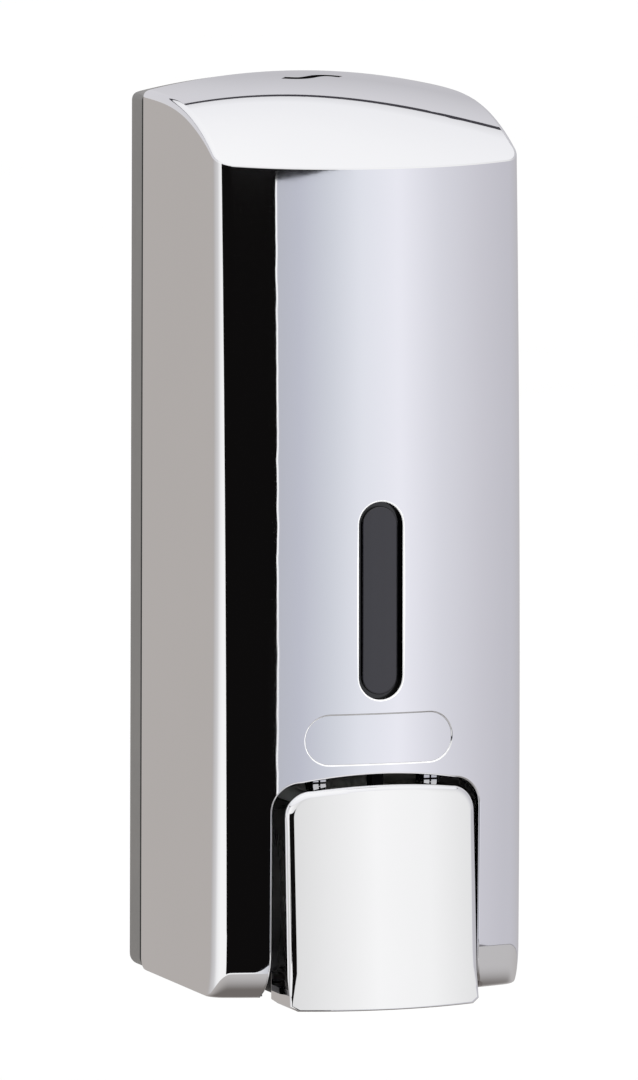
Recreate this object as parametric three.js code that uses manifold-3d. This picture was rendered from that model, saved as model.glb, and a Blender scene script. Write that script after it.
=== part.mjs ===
// Wall soap dispenser with a hinged front cover and a push lever.
// Millimetres. X to the right, Y into the wall, Z up. Depth is measured from the wall (depth = -Y).
// Heights are measured from the housing's bottom edge. The whole part is lowered at the end, so that
// the origin is the middle of the wall face.
import * as THREE from 'three';
import { ParametricGeometry } from 'three/addons/geometries/ParametricGeometry.js';
import { mergeVertices } from 'three/addons/utils/BufferGeometryUtils.js';
import Module from 'manifold-3d';

const wasm = await Module();
wasm.setup();

// Shared values
const originHeight = 113;
const overrun = 1;
const fitGap = 0.2;
const boreGap = 0.15;
const runGap = 0.3;
const roundSteps = 24;
const smallRoundSteps = 14;
const curveSteps = 4;
const full = Math.PI * 2;
const quarter = Math.PI / 2;

// Housing form
const halfWidthBottom = 40.5;
const sideTaper = 1;
const taperHeight = 221;
const plateDepth = 9.1;
const seam = 0.2;
const coverWall = 2.2;
const frontCornerDepth = 69.5;
const frontBulge = 7.9;
const cornerRadius = 5.7;
const rearTopHeight = 221.4;
const topFall = 16.2;
const crownRise = 4.6;
const topEdgeRound = 1.2;
const frontSag = 1.5;
const sagMidHeight = 105;
const rollHeight = 11;
const rollDepth = 4.2;
const topSlopeShare = 0.12;
const topSlopePower = 3.1;
const sideSteps = 7;
const filletSteps = 4;
const arcSteps = 14;
const rearSteps = 8;
const bottomCorner = 3;

// Hinge at the foot of the housing
const hingeDepth = 13.4;
const hingeHeight = 4;
const hingeCornerRadius = 4;
const coverEyeRadius = 3.9;
const plateEyeRadius = 3.4;
const plateEarInset = 9.5;
const plateEarThick = 3.2;
const pinRadius = 1.5;
const pinChamfer = 0.3;
const pinSideWall = 2.4;

// Back plate
const plateFloor = 2.5;
const plateRim = 2.2;
const plateRibThick = 1.6;
const plateRibDepth = 5;
const plateRibLow = 52;
const plateRibMiddle = 92;
const plateRibDrop = 45.4;
const keyholeX = 22;
const keyholeLow = 76;
const keyholeDrop = 39.4;
const keyholeHead = 4.6;
const keyholeSlot = 2.3;
const keyholeRise = 8;
const bossRadius = 4;
const bossDepth = 7;
const bossBoreDepth = 5.4;
const screwShank = 1.5;
const screwHead = 3;
const screwHeadThick = 2;
const screwReach = 4.6;
const screwSocket = 1.1;
const screwSocketDepth = 1.1;

// Tank
const tankInset = 5.4;
const tankRearDepth = 7;
const tankBottom = 66;
const tankHeadroom = 15.2;
const tankWall = 1.8;
const tankFootRound = 6;
const mouthSideStep = 8.1;
const mouthSetBack = 8.5;
const mouthSpan = 24;
const mouthRim = 1.6;
const mouthRimRise = 2.4;
const mouthCorner = 6;
const railX = 20;
const railStem = 1.5;
const railHead = 4;
const railHeadThick = 1.6;
const railLow = 104;
const railTopDrop = 24;
const keeperThick = 2;
const keeperStop = 2;

// Lid
const lidTopThick = 2;
const lidSkirt = 1.6;
const lidOverlap = 1.6;
const sealThick = 1;
const sealWidth = 1.2;
const lidHingeRadius = 2.6;
const lidPinRadius = 1;
const lidKnuckleHalf = 9;
const lidEarThick = 2.6;
const lidHingeStep = 6.4;
const lidTab = 7;
const lidTabReach = 2.4;

// Neck, gasket and nut
const neckStep = 7;
const neckRadius = 9.4;
const neckBore = 6.6;
const neckLow = 56;
const threadRise = 0.6;
const threadPitch = 2.4;
const threadCount = 3;
const gasketThick = 1.1;
const nutRadius = 13;
const nutWall = 2.6;
const nutHeight = 10;
const nutRibCount = 18;
const nutRibRise = 0.8;

// Pump
const pumpHeight = 30;
const pumpSetBack = 43.5;
const pumpLength = 28;
const pumpRadius = 12;
const pumpBore = 9;
const pumpRearWall = 3;
const spigotRadius = 6;
const spigotTop = 61;
const spigotFlangeRadius = 9.2;
const spigotFlangeThick = 1.8;
const ballRadius = 2.5;
const ballTravel = 2;
const ballCageRadius = 3.4;
const ballCageLow = 44;
const portRadius = 1.8;
const inletRise = 0.2;
const outletStep = 12;
const outletStubRadius = 4;
const outletStubLow = 12.6;
const bracketHalfWidth = 21;
const bracketLow = 18;
const bracketHigh = 42;
const bracketThick = 2.5;
const bracketWebX = 7;
const bracketWebThick = 2.4;
const pumpScrewX = 15.5;
const glandThick = 3;
const glandSkirt = 6;
const glandRadius = 14.2;
const glandRibCount = 20;
const glandRibRise = 0.8;

// Piston
const stroke = 5.8;
const pistonStep = 20;
const pistonHeadThick = 4.4;
const sealGroove = 2.4;
const sealDepth = 1.9;
const rodRadius = 3.5;
const rodReach = 17.4;
const buttonThick = 2.8;
const buttonRadius = 8;
const buttonRound = 1;
const rodSocket = 1.6;
const pumpSpringWire = 0.55;
const pumpSpringRadius = 6.6;
const pumpSpringTurns = 5;

// Outlet
const nozzleTop = 16.6;
const nozzleLow = 3.4;
const nozzleRadius = 6;
const nozzleTipRadius = 4;
const nozzleChamber = 4.7;
const nozzleBore = 2.4;
const nozzleTaperHigh = 9;
const valveFlange = 4.4;
const valveFlangeThick = 1;
const valveBody = 2.6;
const valveLength = 4;
const valveLipHalf = 0.35;

// Lock at the top
const lockDepth = 24.5;
const shelfDrop = 19;
const shelfThick = 2.1;
const shelfHalfWidth = 15;
const shelfFront = 29.5;
const shelfScrewX = 10;
const shelfScrewDrop = 10.9;
const shelfFlangeThick = 2;
const shelfFlangeDrop = 6.4;
const shelfGussetThick = 1.6;
const latchHalfWidth = 6;
const latchRear = 19.6;
const latchFront = 30;
const latchDrop = 9.8;
const latchHeadThick = 3;
const latchTravel = 3.8;
const latchStem = 2.2;
const latchTail = 5.6;
const latchSlope = 2;
const latchSpringWire = 0.35;
const latchSpringRadius = 3.6;
const latchSpringTurns = 2.5;
const catchRear = 16.8;
const catchFront = 19.2;
const catchHalfWidth = 8;
const catchClear = 1;
const clipThick = 0.7;
const clipRise = 1.5;
const clipMouthShare = 0.22;
const keyLength = 15;
const keyWave = 1.1;
const keyWidth = 1.5;
const keySteps = 20;

// Window and name plate
const windowHalfWidth = 5.7;
const windowLow = 74.1;
const windowHigh = 123.1;
const lensSetBack = 1.1;
const lensThick = 1.3;
const lensFlange = 2.2;
const lensFlangeThick = 1.1;
const nameHalfWidth = 19.35;
const nameLow = 57.7;
const nameHigh = 70.5;
const nameRecess = 1;
const nameThick = 0.8;
const nameGroove = 0.5;

// Lever opening and lever
const openingHalfWidth = 26.9;
const openingHigh = 55.2;
const openingSideHigh = 53.4;
const openingCorner = 7;
const openingRear = 24;
const leverHalfWidth = 24.1;
const leverLow = -1.9;
const leverHigh = 53;
const leverSideHigh = 51.8;
const leverCorner = 6.5;
const leverBottomReach = 10.9;
const leverTopReach = 7.5;
const leverBulge = 5.07;
const leverSetBack = 4.1;
const leverWall = 2.2;
const leverEdge = 1.8;
const leverRibX = 10;
const leverRibThick = 1.6;
const leverRibStep = 3.5;
const leverSideSteps = 4;
const leverFaceSteps = 10;
const leverCornerSteps = 5;
const leverEdgeSteps = 4;
const axleHeight = 59.5;
const axleWallGap = 3.667;
const axleRadius = 1.5;
const lugX = 14.5;
const lugThick = 3.3;
const lugRadius = 3.1;
const earX = 19;
const earThick = 3;
const earRadius = 3.4;
const padRadius = 4.5;
const padFaceRadius = 3.5;
const padThick = 2.8;
const padGap = 0.3;
const padStem = 1.8;
const padStemLength = 4;
const nubHalfWidth = 1.5;
const nubHigh = 57.4;
const nubStep = 1.1;

// Worked out sizes
const coverRear = plateDepth + seam;
const arcRadius = (halfWidthBottom ** 2 + frontBulge ** 2) / (2 * frontBulge);
const halfWidthTop = halfWidthBottom - sideTaper;
const creaseHeight = rearTopHeight - topFall;
const plateEarInner = halfWidthBottom - plateEarInset;
const plateRibHeights = [plateRibLow, plateRibMiddle, rearTopHeight - plateRibDrop];
const keyholeHeights = [keyholeLow, rearTopHeight - keyholeDrop];
const tankTop = creaseHeight - tankHeadroom;
const railHigh = tankTop - railTopDrop;
const mouthHalfWidth = halfWidthTop - tankInset - mouthSideStep;
const mouthFront = frontCornerDepth - mouthSetBack;
const mouthRear = mouthFront - mouthSpan;
const lidHingeDepth = mouthRear - lidHingeStep;
const pumpRear = frontCornerDepth - pumpSetBack;
const pumpFront = pumpRear + pumpLength;
const glandFront = pumpFront + glandThick;
const glandSkirtRear = pumpFront - glandSkirt;
const pistonRear = pumpRear + pistonStep;
const buttonRear = pistonRear + rodReach;
const buttonFront = buttonRear + buttonThick;
const neckDepth = pumpRear + neckStep;
const outletDepth = pumpRear + outletStep;
const leverBottomDepth = frontCornerDepth + leverBottomReach;
const leverTopDepth = frontCornerDepth + leverTopReach;
const leverRear = frontCornerDepth - leverSetBack;
const leverRibRear = frontCornerDepth + leverRibStep;
const axleDepth = frontDepthAt(earX, axleHeight, coverWall) - axleWallGap;
const nubRear = axleDepth + nubStep;
const shelfLow = rearTopHeight - shelfDrop;
const shelfScrewHeight = rearTopHeight - shelfScrewDrop;
const shelfFlangeHigh = rearTopHeight - shelfFlangeDrop;
const latchTopAtRest = rearTopHeight - latchDrop;
const shelfHigh = shelfLow + shelfThick;
const mouthTop = tankTop + mouthRimRise;
const lidUnderside = mouthTop + sealThick + fitGap * 2;
const lidTop = lidUnderside + lidTopThick;
const lidHingeHeight = lidUnderside - lidHingeRadius + lidTopThick;
const spigotFlangeTop = neckLow - gasketThick - fitGap * 2;
const spigotFlangeLow = spigotFlangeTop - spigotFlangeThick;
const nutLow = spigotFlangeLow - fitGap - nutWall;
const padFace = buttonFront + padGap;
const bracketRear = bossDepth + fitGap;
const bracketFront = bracketRear + bracketThick;
const shelfFlangeFront = bossDepth + fitGap + shelfFlangeThick;

// Solids from geometry

function solidOf(source) {
  const bare = source.clone();
  bare.deleteAttribute('normal');
  bare.deleteAttribute('uv');
  const merged = mergeVertices(bare);
  const index = merged.index.array;
  const kept = [];
  for (let i = 0; i < index.length; i += 3) {
    const [a, b, c] = [index[i], index[i + 1], index[i + 2]];
    if (a !== b && b !== c && c !== a) {
      kept.push(a, b, c);
    }
  }
  const place = merged.attributes.position;
  let volume = 0;
  const corner = (i) => new THREE.Vector3().fromBufferAttribute(place, i);
  for (let i = 0; i < kept.length; i += 3) {
    volume += corner(kept[i]).dot(corner(kept[i + 1]).cross(corner(kept[i + 2])));
  }
  if (volume < 0) {
    kept.reverse();
  }
  const mesh = new wasm.Mesh({
    numProp: 3,
    vertProperties: new Float32Array(place.array),
    triVerts: new Uint32Array(kept),
  });
  return new wasm.Manifold(mesh);
}

function joined(...solids) {
  return solids.flat().reduce((sum, next) => sum.add(next));
}

function cut(solid, ...tools) {
  return tools.flat().reduce((rest, next) => rest.subtract(next), solid);
}

function block(x0, x1, depth0, depth1, height0, height1) {
  const box = new THREE.BoxGeometry(x1 - x0, depth1 - depth0, height1 - height0);
  box.translate((x0 + x1) / 2, -(depth0 + depth1) / 2, (height0 + height1) / 2);
  return solidOf(box);
}

function shapeOf(points) {
  return new THREE.Shape(points.map(([a, b]) => new THREE.Vector2(a, b)));
}

function extruded(shape, length) {
  return new THREE.ExtrudeGeometry(shape, { depth: length, bevelEnabled: false, curveSegments: curveSteps });
}

// An outline of (x, height) pushed from one depth to another
function forwardPrism(shape, depth0, depth1) {
  const body = extruded(shape, depth1 - depth0);
  body.rotateX(quarter);
  body.translate(0, -depth0, 0);
  return solidOf(body);
}

// An outline of (depth, height) pushed from one x to another
function acrossPrism(shape, x0, x1) {
  const body = extruded(shape, x1 - x0);
  body.rotateX(quarter);
  body.rotateZ(-quarter);
  body.translate(x1, 0, 0);
  return solidOf(body);
}

// An outline of (x, depth) pushed from one height to another
function upPrism(shape, height0, height1) {
  const body = extruded(shape, height1 - height0);
  body.rotateX(Math.PI);
  body.translate(0, 0, height1);
  return solidOf(body);
}

// A profile of (radius, place along the axis) turned about an axis through a centre
function turned(profile, axis, centre, steps = roundSteps) {
  const points = profile.map(([radius, along]) => new THREE.Vector2(radius, along));
  const body = new THREE.LatheGeometry(points, steps);
  if (axis === 'up') {
    body.rotateX(quarter);
  } else if (axis === 'forward') {
    body.rotateX(Math.PI);
  } else {
    body.rotateZ(-quarter);
  }
  body.translate(centre[0], -centre[1], centre[2]);
  return solidOf(body);
}

function rod(radius, from, to, axis, centre, steps = smallRoundSteps) {
  return turned([[0, from], [radius, from], [radius, to], [0, to]], axis, centre, steps);
}

function chamferedRod(radius, from, to, chamfer, axis, centre, steps = smallRoundSteps) {
  const profile = [
    [0, from],
    [radius - chamfer, from],
    [radius, from + chamfer],
    [radius, to - chamfer],
    [radius - chamfer, to],
    [0, to],
  ];
  return turned(profile, axis, centre, steps);
}

// Closed body from rings of points; the first and last rings have shrunk to one point
function ringSolid(rings) {
  const stacks = rings.length - 1;
  const slices = rings[0].length;
  const place = (u, v, target) => {
    const ring = rings[Math.round(v * stacks)];
    target.copy(ring[Math.round(u * slices) % slices]);
  };
  return solidOf(new ParametricGeometry(place, slices, stacks));
}

// An outline with round ends, as wide as it is told
function stadium(halfWidth, low, high) {
  const shape = new THREE.Shape();
  const halfHeight = (high - low) / 2;
  const middle = (low + high) / 2;
  const round = Math.min(halfWidth, halfHeight);
  const runX = halfWidth - round;
  const runZ = halfHeight - round;
  shape.absarc(runX, middle + runZ, round, 0, quarter);
  shape.absarc(-runX, middle + runZ, round, quarter, quarter * 2);
  shape.absarc(-runX, middle - runZ, round, quarter * 2, quarter * 3);
  shape.absarc(runX, middle - runZ, round, quarter * 3, full);
  return shape;
}

function roundedBox(halfWidth, low, high, corner) {
  const shape = new THREE.Shape();
  const inner = halfWidth - corner;
  shape.absarc(inner, high - corner, corner, 0, quarter);
  shape.absarc(-inner, high - corner, corner, quarter, quarter * 2);
  shape.absarc(-inner, low + corner, corner, quarter * 2, quarter * 3);
  shape.absarc(inner, low + corner, corner, quarter * 3, full);
  return shape;
}

// A spring as one unbroken tube on a helix; prints the least gap between neighbouring turns
function spring(wire, radius, turns, from, to, axis, centre, label) {
  class Helix extends THREE.Curve {
    getPoint(t, target = new THREE.Vector3()) {
      const turn = t * turns * full;
      return target.set(radius * Math.cos(turn), radius * Math.sin(turn), (to - from - wire * 2) * t);
    }
  }
  const path = new Helix();
  const steps = Math.ceil(turns * springStepsPerTurn);
  const section = new THREE.Shape();
  for (let i = 0; i < springSides; i += 1) {
    const turn = (i / springSides) * full;
    const point = [wire * Math.cos(turn), wire * Math.sin(turn)];
    if (i === 0) {
      section.moveTo(...point);
    } else {
      section.lineTo(...point);
    }
  }
  const tube = new THREE.ExtrudeGeometry(section, { steps, extrudePath: path, bevelEnabled: false });
  printLeastGap(path, wire, turns, steps, label);
  if (axis === 'forward') {
    tube.rotateX(quarter);
    tube.translate(centre[0], -from - wire, centre[2]);
  } else {
    tube.translate(centre[0], -centre[1], from + wire);
  }
  return solidOf(tube);
}

const springSides = 5;
const springStepsPerTurn = 12;
const gapSamplesPerTurn = 24;

function printLeastGap(path, wire, turns, steps, label) {
  const count = Math.ceil(turns * gapSamplesPerTurn);
  const points = path.getPoints(count);
  let least = Infinity;
  for (let i = 0; i < points.length; i += 1) {
    for (let j = i + gapSamplesPerTurn / 2; j < points.length; j += 1) {
      least = Math.min(least, points[i].distanceTo(points[j]));
    }
  }
  console.log(`${label}: least gap between turns ${(least - wire * 2).toFixed(2)} mm`);
}

// Housing form shared by the cover, its inside and the tank

function halfWidthAt(height) {
  const share = THREE.MathUtils.clamp(height / taperHeight, 0, 1);
  return halfWidthBottom + (halfWidthTop - halfWidthBottom) * share;
}

function frontSagAt(height) {
  const share = (height - sagMidHeight) / (creaseHeight - sagMidHeight);
  return frontSag * share ** 2;
}

function frontRollAt(height, bottom) {
  const share = THREE.MathUtils.clamp((height - bottom) / rollHeight, 0, 1);
  return rollDepth * (1 - Math.sqrt(1 - (1 - share) ** 2));
}

function frontDepthAt(x, height, inset = 0) {
  const centre = frontCornerDepth + frontBulge - frontSagAt(height) - arcRadius;
  return centre + Math.sqrt((arcRadius - inset) ** 2 - x ** 2);
}

// Height of the top face over a plan point, falling toward the front and crowned across
function topHeightAt(x, depth) {
  const front = frontDepthAt(x, creaseHeight);
  const share = THREE.MathUtils.clamp((depth - coverRear) / (front - coverRear), 0, 1);
  const fall = topFall * (topSlopeShare * share + (1 - topSlopeShare) * share ** topSlopePower);
  const across = Math.min(Math.abs(x) / halfWidthTop, 1);
  return rearTopHeight - fall + crownRise * (1 - across ** 2) * (1 - share ** 2);
}

// Plan outline at a height: sides, rounded corners, bulged front and a straight rear
function planOutline(height, inset, rear, shift = 0) {
  const side = halfWidthAt(height) - inset;
  const radius = arcRadius - inset;
  const round = Math.max(cornerRadius - inset, topEdgeRound);
  const arcCentre = frontCornerDepth + frontBulge - frontSagAt(height) - arcRadius - shift;
  const roundX = side - round;
  const roundDepth = arcCentre + Math.sqrt((radius - round) ** 2 - roundX ** 2);
  const lean = Math.asin(roundX / (radius - round));
  const points = [];
  for (let i = 0; i < sideSteps; i += 1) {
    points.push([-side, rear + (roundDepth - rear) * (i / sideSteps)]);
  }
  for (let i = 0; i < filletSteps; i += 1) {
    const turn = -quarter + (quarter - lean) * (i / filletSteps);
    points.push([-roundX + round * Math.sin(turn), roundDepth + round * Math.cos(turn)]);
  }
  for (let i = 0; i <= arcSteps; i += 1) {
    const turn = lean * ((2 * i) / arcSteps - 1);
    points.push([radius * Math.sin(turn), arcCentre + radius * Math.cos(turn)]);
  }
  for (let i = 1; i <= filletSteps; i += 1) {
    const turn = lean + (quarter - lean) * (i / filletSteps);
    points.push([roundX + round * Math.sin(turn), roundDepth + round * Math.cos(turn)]);
  }
  for (let i = 1; i <= sideSteps; i += 1) {
    points.push([side, roundDepth + (rear - roundDepth) * (i / sideSteps)]);
  }
  for (let i = 1; i < rearSteps; i += 1) {
    points.push([side * (1 - (2 * i) / rearSteps), rear]);
  }
  return points;
}

const wallHeightShares = [0, 0.06, 0.2, 0.45, 1];
const wallSpanShares = [0.3, 0.62, 0.9];
const topRingShares = [0.06, 0.17, 0.34, 0.58];
const flatRingShare = 0.5;

// The housing's outer form, or the same form moved inwards by a wall
function housingForm(inset, bottom, rear) {
  const rings = [];
  const bottomRing = planOutline(bottom, inset, rear, rollDepth);
  const bottomMiddle = (rear + frontCornerDepth) / 2;
  const raise = ([x, depth], height) => new THREE.Vector3(x, -depth, height);
  const towards = ([x, depth], share) => [x * share, bottomMiddle + (depth - bottomMiddle) * share];
  rings.push(bottomRing.map(() => raise([0, bottomMiddle], bottom)));
  rings.push(bottomRing.map((point) => raise(towards(point, flatRingShare), bottom)));
  for (const share of wallHeightShares) {
    const height = bottom + rollHeight * share;
    rings.push(planOutline(height, inset, rear, frontRollAt(height, bottom)).map((point) => raise(point, height)));
  }
  for (const share of wallSpanShares) {
    const height = bottom + rollHeight + (creaseHeight - inset - bottom - rollHeight) * share;
    rings.push(planOutline(height, inset, rear).map((point) => raise(point, height)));
  }
  const edge = planOutline(creaseHeight - inset, inset, rear);
  const onTop = (point) => topHeightAt(point[0], point[1]) - inset;
  rings.push(edge.map((point) => raise(point, onTop(point) - topEdgeRound)));
  const softened = planOutline(creaseHeight - inset, inset + topEdgeRound, rear);
  const half = edge.map(([x, depth], i) => {
    const inner = softened[i];
    return [x + (inner[0] - x) * edgeShare, depth + (inner[1] - depth) * edgeShare];
  });
  rings.push(half.map((point) => raise(point, onTop(point) - topEdgeRound * edgeShare)));
  rings.push(softened.map((point) => raise(point, onTop(point))));
  for (const share of topRingShares) {
    rings.push(softened.map((point) => {
      const nearer = towards(point, 1 - share);
      return raise(nearer, onTop(nearer));
    }));
  }
  const peak = raise([0, bottomMiddle], onTop([0, bottomMiddle]));
  rings.push(softened.map(() => peak));
  return ringSolid(rings);
}

const edgeShare = 0.3;

// The part of the front wall between two depths below its outer face, for one range of heights
function wallLayer(outerInset, innerInset, low, high) {
  const middle = (low + high) / 2;
  const places = Array.from({ length: arcSteps + 1 }, (_, i) => openingHalfWidth * ((2 * i) / arcSteps - 1));
  const front = places.map((x) => [x, -frontDepthAt(x, middle, outerInset)]);
  const back = places.map((x) => [x, -frontDepthAt(x, middle, innerInset)]).reverse();
  const body = extruded(shapeOf([...front, ...back]), high - low);
  body.translate(0, 0, low);
  return solidOf(body);
}

// Piece cut away where the rear bottom corner is rounded about the hinge
function hingeCornerTool() {
  const reach = hingeCornerRadius + overrun;
  const shape = new THREE.Shape();
  shape.moveTo(hingeDepth - reach, hingeHeight - reach);
  shape.lineTo(hingeDepth, hingeHeight - reach);
  shape.lineTo(hingeDepth, hingeHeight - hingeCornerRadius);
  shape.absarc(hingeDepth, hingeHeight, hingeCornerRadius, -quarter, -quarter * 2, true);
  shape.lineTo(hingeDepth - reach, hingeHeight);
  return acrossPrism(shape, -halfWidthBottom - overrun, halfWidthBottom + overrun);
}

// Front cover

function openingShape(halfWidth, low, high, sideHigh, corner) {
  const shape = new THREE.Shape();
  const steps = leverFaceSteps;
  shape.moveTo(-halfWidth, low);
  shape.lineTo(halfWidth, low);
  shape.lineTo(halfWidth, sideHigh - corner);
  const arch = archPoints(halfWidth, high, sideHigh, corner, steps);
  arch.forEach(([x, height]) => shape.lineTo(x, height));
  return shape;
}

// Arched top edge with rounded corners, from right to left
function archPoints(halfWidth, high, sideHigh, corner, steps) {
  const points = [];
  const inner = halfWidth - corner;
  const rise = (x) => sideHigh + (high - sideHigh) * (1 - (x / inner) ** 2);
  for (let i = 1; i <= leverCornerSteps; i += 1) {
    const turn = quarter * (i / leverCornerSteps);
    points.push([inner + corner * Math.cos(turn), sideHigh - corner + corner * Math.sin(turn)]);
  }
  for (let i = 1; i < steps; i += 1) {
    const x = inner * (1 - (2 * i) / steps);
    points.push([x, rise(x)]);
  }
  for (let i = leverCornerSteps; i >= 0; i -= 1) {
    const turn = quarter * (i / leverCornerSteps);
    points.push([-inner - corner * Math.cos(turn), sideHigh - corner + corner * Math.sin(turn)]);
  }
  return points;
}

function keySlotShape() {
  const upper = [];
  const lower = [];
  for (let i = 0; i <= keySteps; i += 1) {
    const share = i / keySteps;
    const x = keyLength * (share - 1 / 2);
    const wave = keyWave * Math.sin(share * full);
    upper.push([x, lockDepth + wave + keyWidth / 2]);
    lower.push([x, lockDepth + wave - keyWidth / 2]);
  }
  return shapeOf([...upper, ...lower.reverse()]);
}

function axleEar(x, radius, thick) {
  const shape = new THREE.Shape();
  const front = frontDepthAt(x, axleHeight, coverWall / 2);
  shape.moveTo(front, axleHeight - radius);
  shape.lineTo(front, axleHeight + radius);
  shape.lineTo(axleDepth, axleHeight + radius);
  shape.absarc(axleDepth, axleHeight, radius, quarter, quarter * 3, false);
  return acrossPrism(shape, x - thick / 2, x + thick / 2);
}

function coverEye(side) {
  const near = plateEarInner + plateEarThick + runGap;
  const far = halfWidthBottom - coverWall / 2;
  const shape = new THREE.Shape();
  shape.moveTo(hingeDepth, hingeHeight - hingeCornerRadius + coverWall / 2);
  shape.lineTo(hingeDepth + coverEyeRadius, hingeHeight - hingeCornerRadius + coverWall / 2);
  shape.lineTo(hingeDepth + coverEyeRadius, hingeHeight);
  shape.absarc(hingeDepth, hingeHeight, coverEyeRadius, 0, quarter * 3, false);
  return acrossPrism(shape, side > 0 ? near : -far, side > 0 ? far : -near);
}

function frontCover() {
  const outer = housingForm(0, 0, coverRear);
  const inner = housingForm(coverWall, coverWall, coverRear - overrun - coverWall);
  const catchRib = block(
    -catchHalfWidth, catchHalfWidth, catchRear, catchFront,
    latchTopAtRest + catchClear, topHeightAt(catchHalfWidth, catchFront) - coverWall / 2,
  );
  const ribX = catchHalfWidth - plateRibThick / 2;
  const catchGussets = [-ribX, ribX].map((x) => block(
    x - plateRibThick / 2, x + plateRibThick / 2, catchRear - coverWall, catchRear + fitGap,
    latchTopAtRest + catchClear + coverWall, topHeightAt(catchHalfWidth, catchFront) - coverWall / 2,
  ));
  const eyes = [-1, 1].map((side) => coverEye(side));
  const ears = [-earX, earX].map((x) => axleEar(x, earRadius, earThick));
  const shell = joined(cut(outer, inner), catchRib, catchGussets, eyes, ears);
  const opening = openingShape(openingHalfWidth, -overrun, openingHigh, openingSideHigh, openingCorner);
  const openingFront = forwardPrism(opening, axleDepth - earRadius - overrun, frontCornerDepth + frontBulge + overrun);
  const openingFoot = block(
    -openingHalfWidth, openingHalfWidth, openingRear, frontCornerDepth + frontBulge + overrun,
    -overrun, coverWall + overrun,
  );
  const earCuts = [-1, 1].map((side) => {
    const near = plateEarInner - runGap;
    const far = plateEarInner + plateEarThick + runGap;
    const depth = hingeDepth + coverEyeRadius + runGap;
    return block(
      side > 0 ? near : -far, side > 0 ? far : -near, coverRear - overrun, depth,
      -overrun, coverWall + overrun,
    );
  });
  const pinLimit = halfWidthBottom - pinSideWall;
  const pinBores = [-1, 1].map((side) => rod(
    pinRadius + boreGap, side > 0 ? plateEarInner : -pinLimit, side > 0 ? pinLimit : -plateEarInner,
    'across', [0, hingeDepth, hingeHeight],
  ));
  const axleBore = rod(axleRadius + boreGap, -earX - earThick, earX + earThick, 'across', [0, axleDepth, axleHeight]);
  const window = forwardPrism(
    stadium(windowHalfWidth, windowLow, windowHigh),
    frontCornerDepth - overrun, frontCornerDepth + frontBulge + overrun,
  );
  const recess = forwardPrism(
    stadium(nameHalfWidth, nameLow, nameHigh), frontCornerDepth, frontCornerDepth + frontBulge + overrun,
  ).intersect(wallLayer(-overrun, nameRecess, nameLow, nameHigh));
  const keySlot = upPrism(keySlotShape(), shelfHigh, rearTopHeight + crownRise + overrun);
  return cut(shell, openingFront, openingFoot, earCuts, pinBores, axleBore, window, recess, keySlot, hingeCornerTool());
}

function windowLens() {
  const depths = [frontCornerDepth - overrun, frontCornerDepth + frontBulge + overrun];
  const heights = [windowLow - lensFlange, windowHigh + lensFlange];
  const inWall = forwardPrism(
    stadium(windowHalfWidth - fitGap, windowLow + fitGap, windowHigh - fitGap), ...depths,
  ).intersect(wallLayer(lensSetBack, lensSetBack + lensThick + fitGap, ...heights));
  const behind = forwardPrism(
    stadium(windowHalfWidth + lensFlange, windowLow - lensFlange, windowHigh + lensFlange), ...depths,
  ).intersect(wallLayer(coverWall + fitGap, coverWall + fitGap + lensFlangeThick, ...heights));
  return joined(inWall, behind);
}

function namePlate() {
  const shape = stadium(nameHalfWidth - nameGroove, nameLow + nameGroove, nameHigh - nameGroove);
  const plate = forwardPrism(shape, frontCornerDepth, frontCornerDepth + frontBulge + overrun);
  return plate.intersect(wallLayer(nameRecess - nameThick, nameRecess - fitGap / 2, nameLow, nameHigh));
}

// Back plate

function plateOutline(inset) {
  const points = [];
  const side = (height) => halfWidthAt(height) - inset;
  const low = inset;
  for (let i = 0; i <= leverCornerSteps; i += 1) {
    const turn = quarter * (i / leverCornerSteps);
    const x = side(0) - bottomCorner + bottomCorner * Math.sin(turn);
    points.push([x, low + bottomCorner - bottomCorner * Math.cos(turn)]);
  }
  for (let i = 0; i <= rearSteps; i += 1) {
    const x = side(taperHeight) * (1 - (2 * i) / rearSteps);
    points.push([x, topHeightAt(x, coverRear) - inset - (i === 0 || i === rearSteps ? topEdgeRound : 0)]);
  }
  for (let i = leverCornerSteps; i >= 0; i -= 1) {
    const turn = quarter * (i / leverCornerSteps);
    const x = -side(0) + bottomCorner - bottomCorner * Math.sin(turn);
    points.push([x, low + bottomCorner - bottomCorner * Math.cos(turn)]);
  }
  return shapeOf(points);
}

function keyhole(x, height) {
  const shape = new THREE.Shape();
  const lean = Math.asin(keyholeSlot / keyholeHead);
  shape.absarc(x, height, keyholeHead, quarter + lean, quarter - lean + full, false);
  shape.absarc(x, height + keyholeRise, keyholeSlot, 0, quarter * 2, false);
  return forwardPrism(shape, -overrun, plateFloor + overrun);
}

function plateEar(side) {
  const shape = new THREE.Shape();
  const low = hingeHeight - plateEyeRadius;
  const high = hingeHeight + plateEyeRadius;
  shape.moveTo(plateFloor / 2, low);
  shape.lineTo(hingeDepth, low);
  shape.absarc(hingeDepth, hingeHeight, plateEyeRadius, -quarter, quarter, false);
  shape.lineTo(plateDepth, high);
  shape.lineTo(plateFloor / 2, high + plateDepth);
  const far = plateEarInner + plateEarThick;
  return acrossPrism(shape, side > 0 ? plateEarInner : -far, side > 0 ? far : -plateEarInner);
}

function boss(x, height) {
  return rod(bossRadius, plateFloor / 2, bossDepth, 'forward', [x, 0, height]);
}

function bossBore(x, height) {
  return rod(screwShank + boreGap, bossDepth - bossBoreDepth, bossDepth + overrun, 'forward', [x, 0, height]);
}

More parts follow.
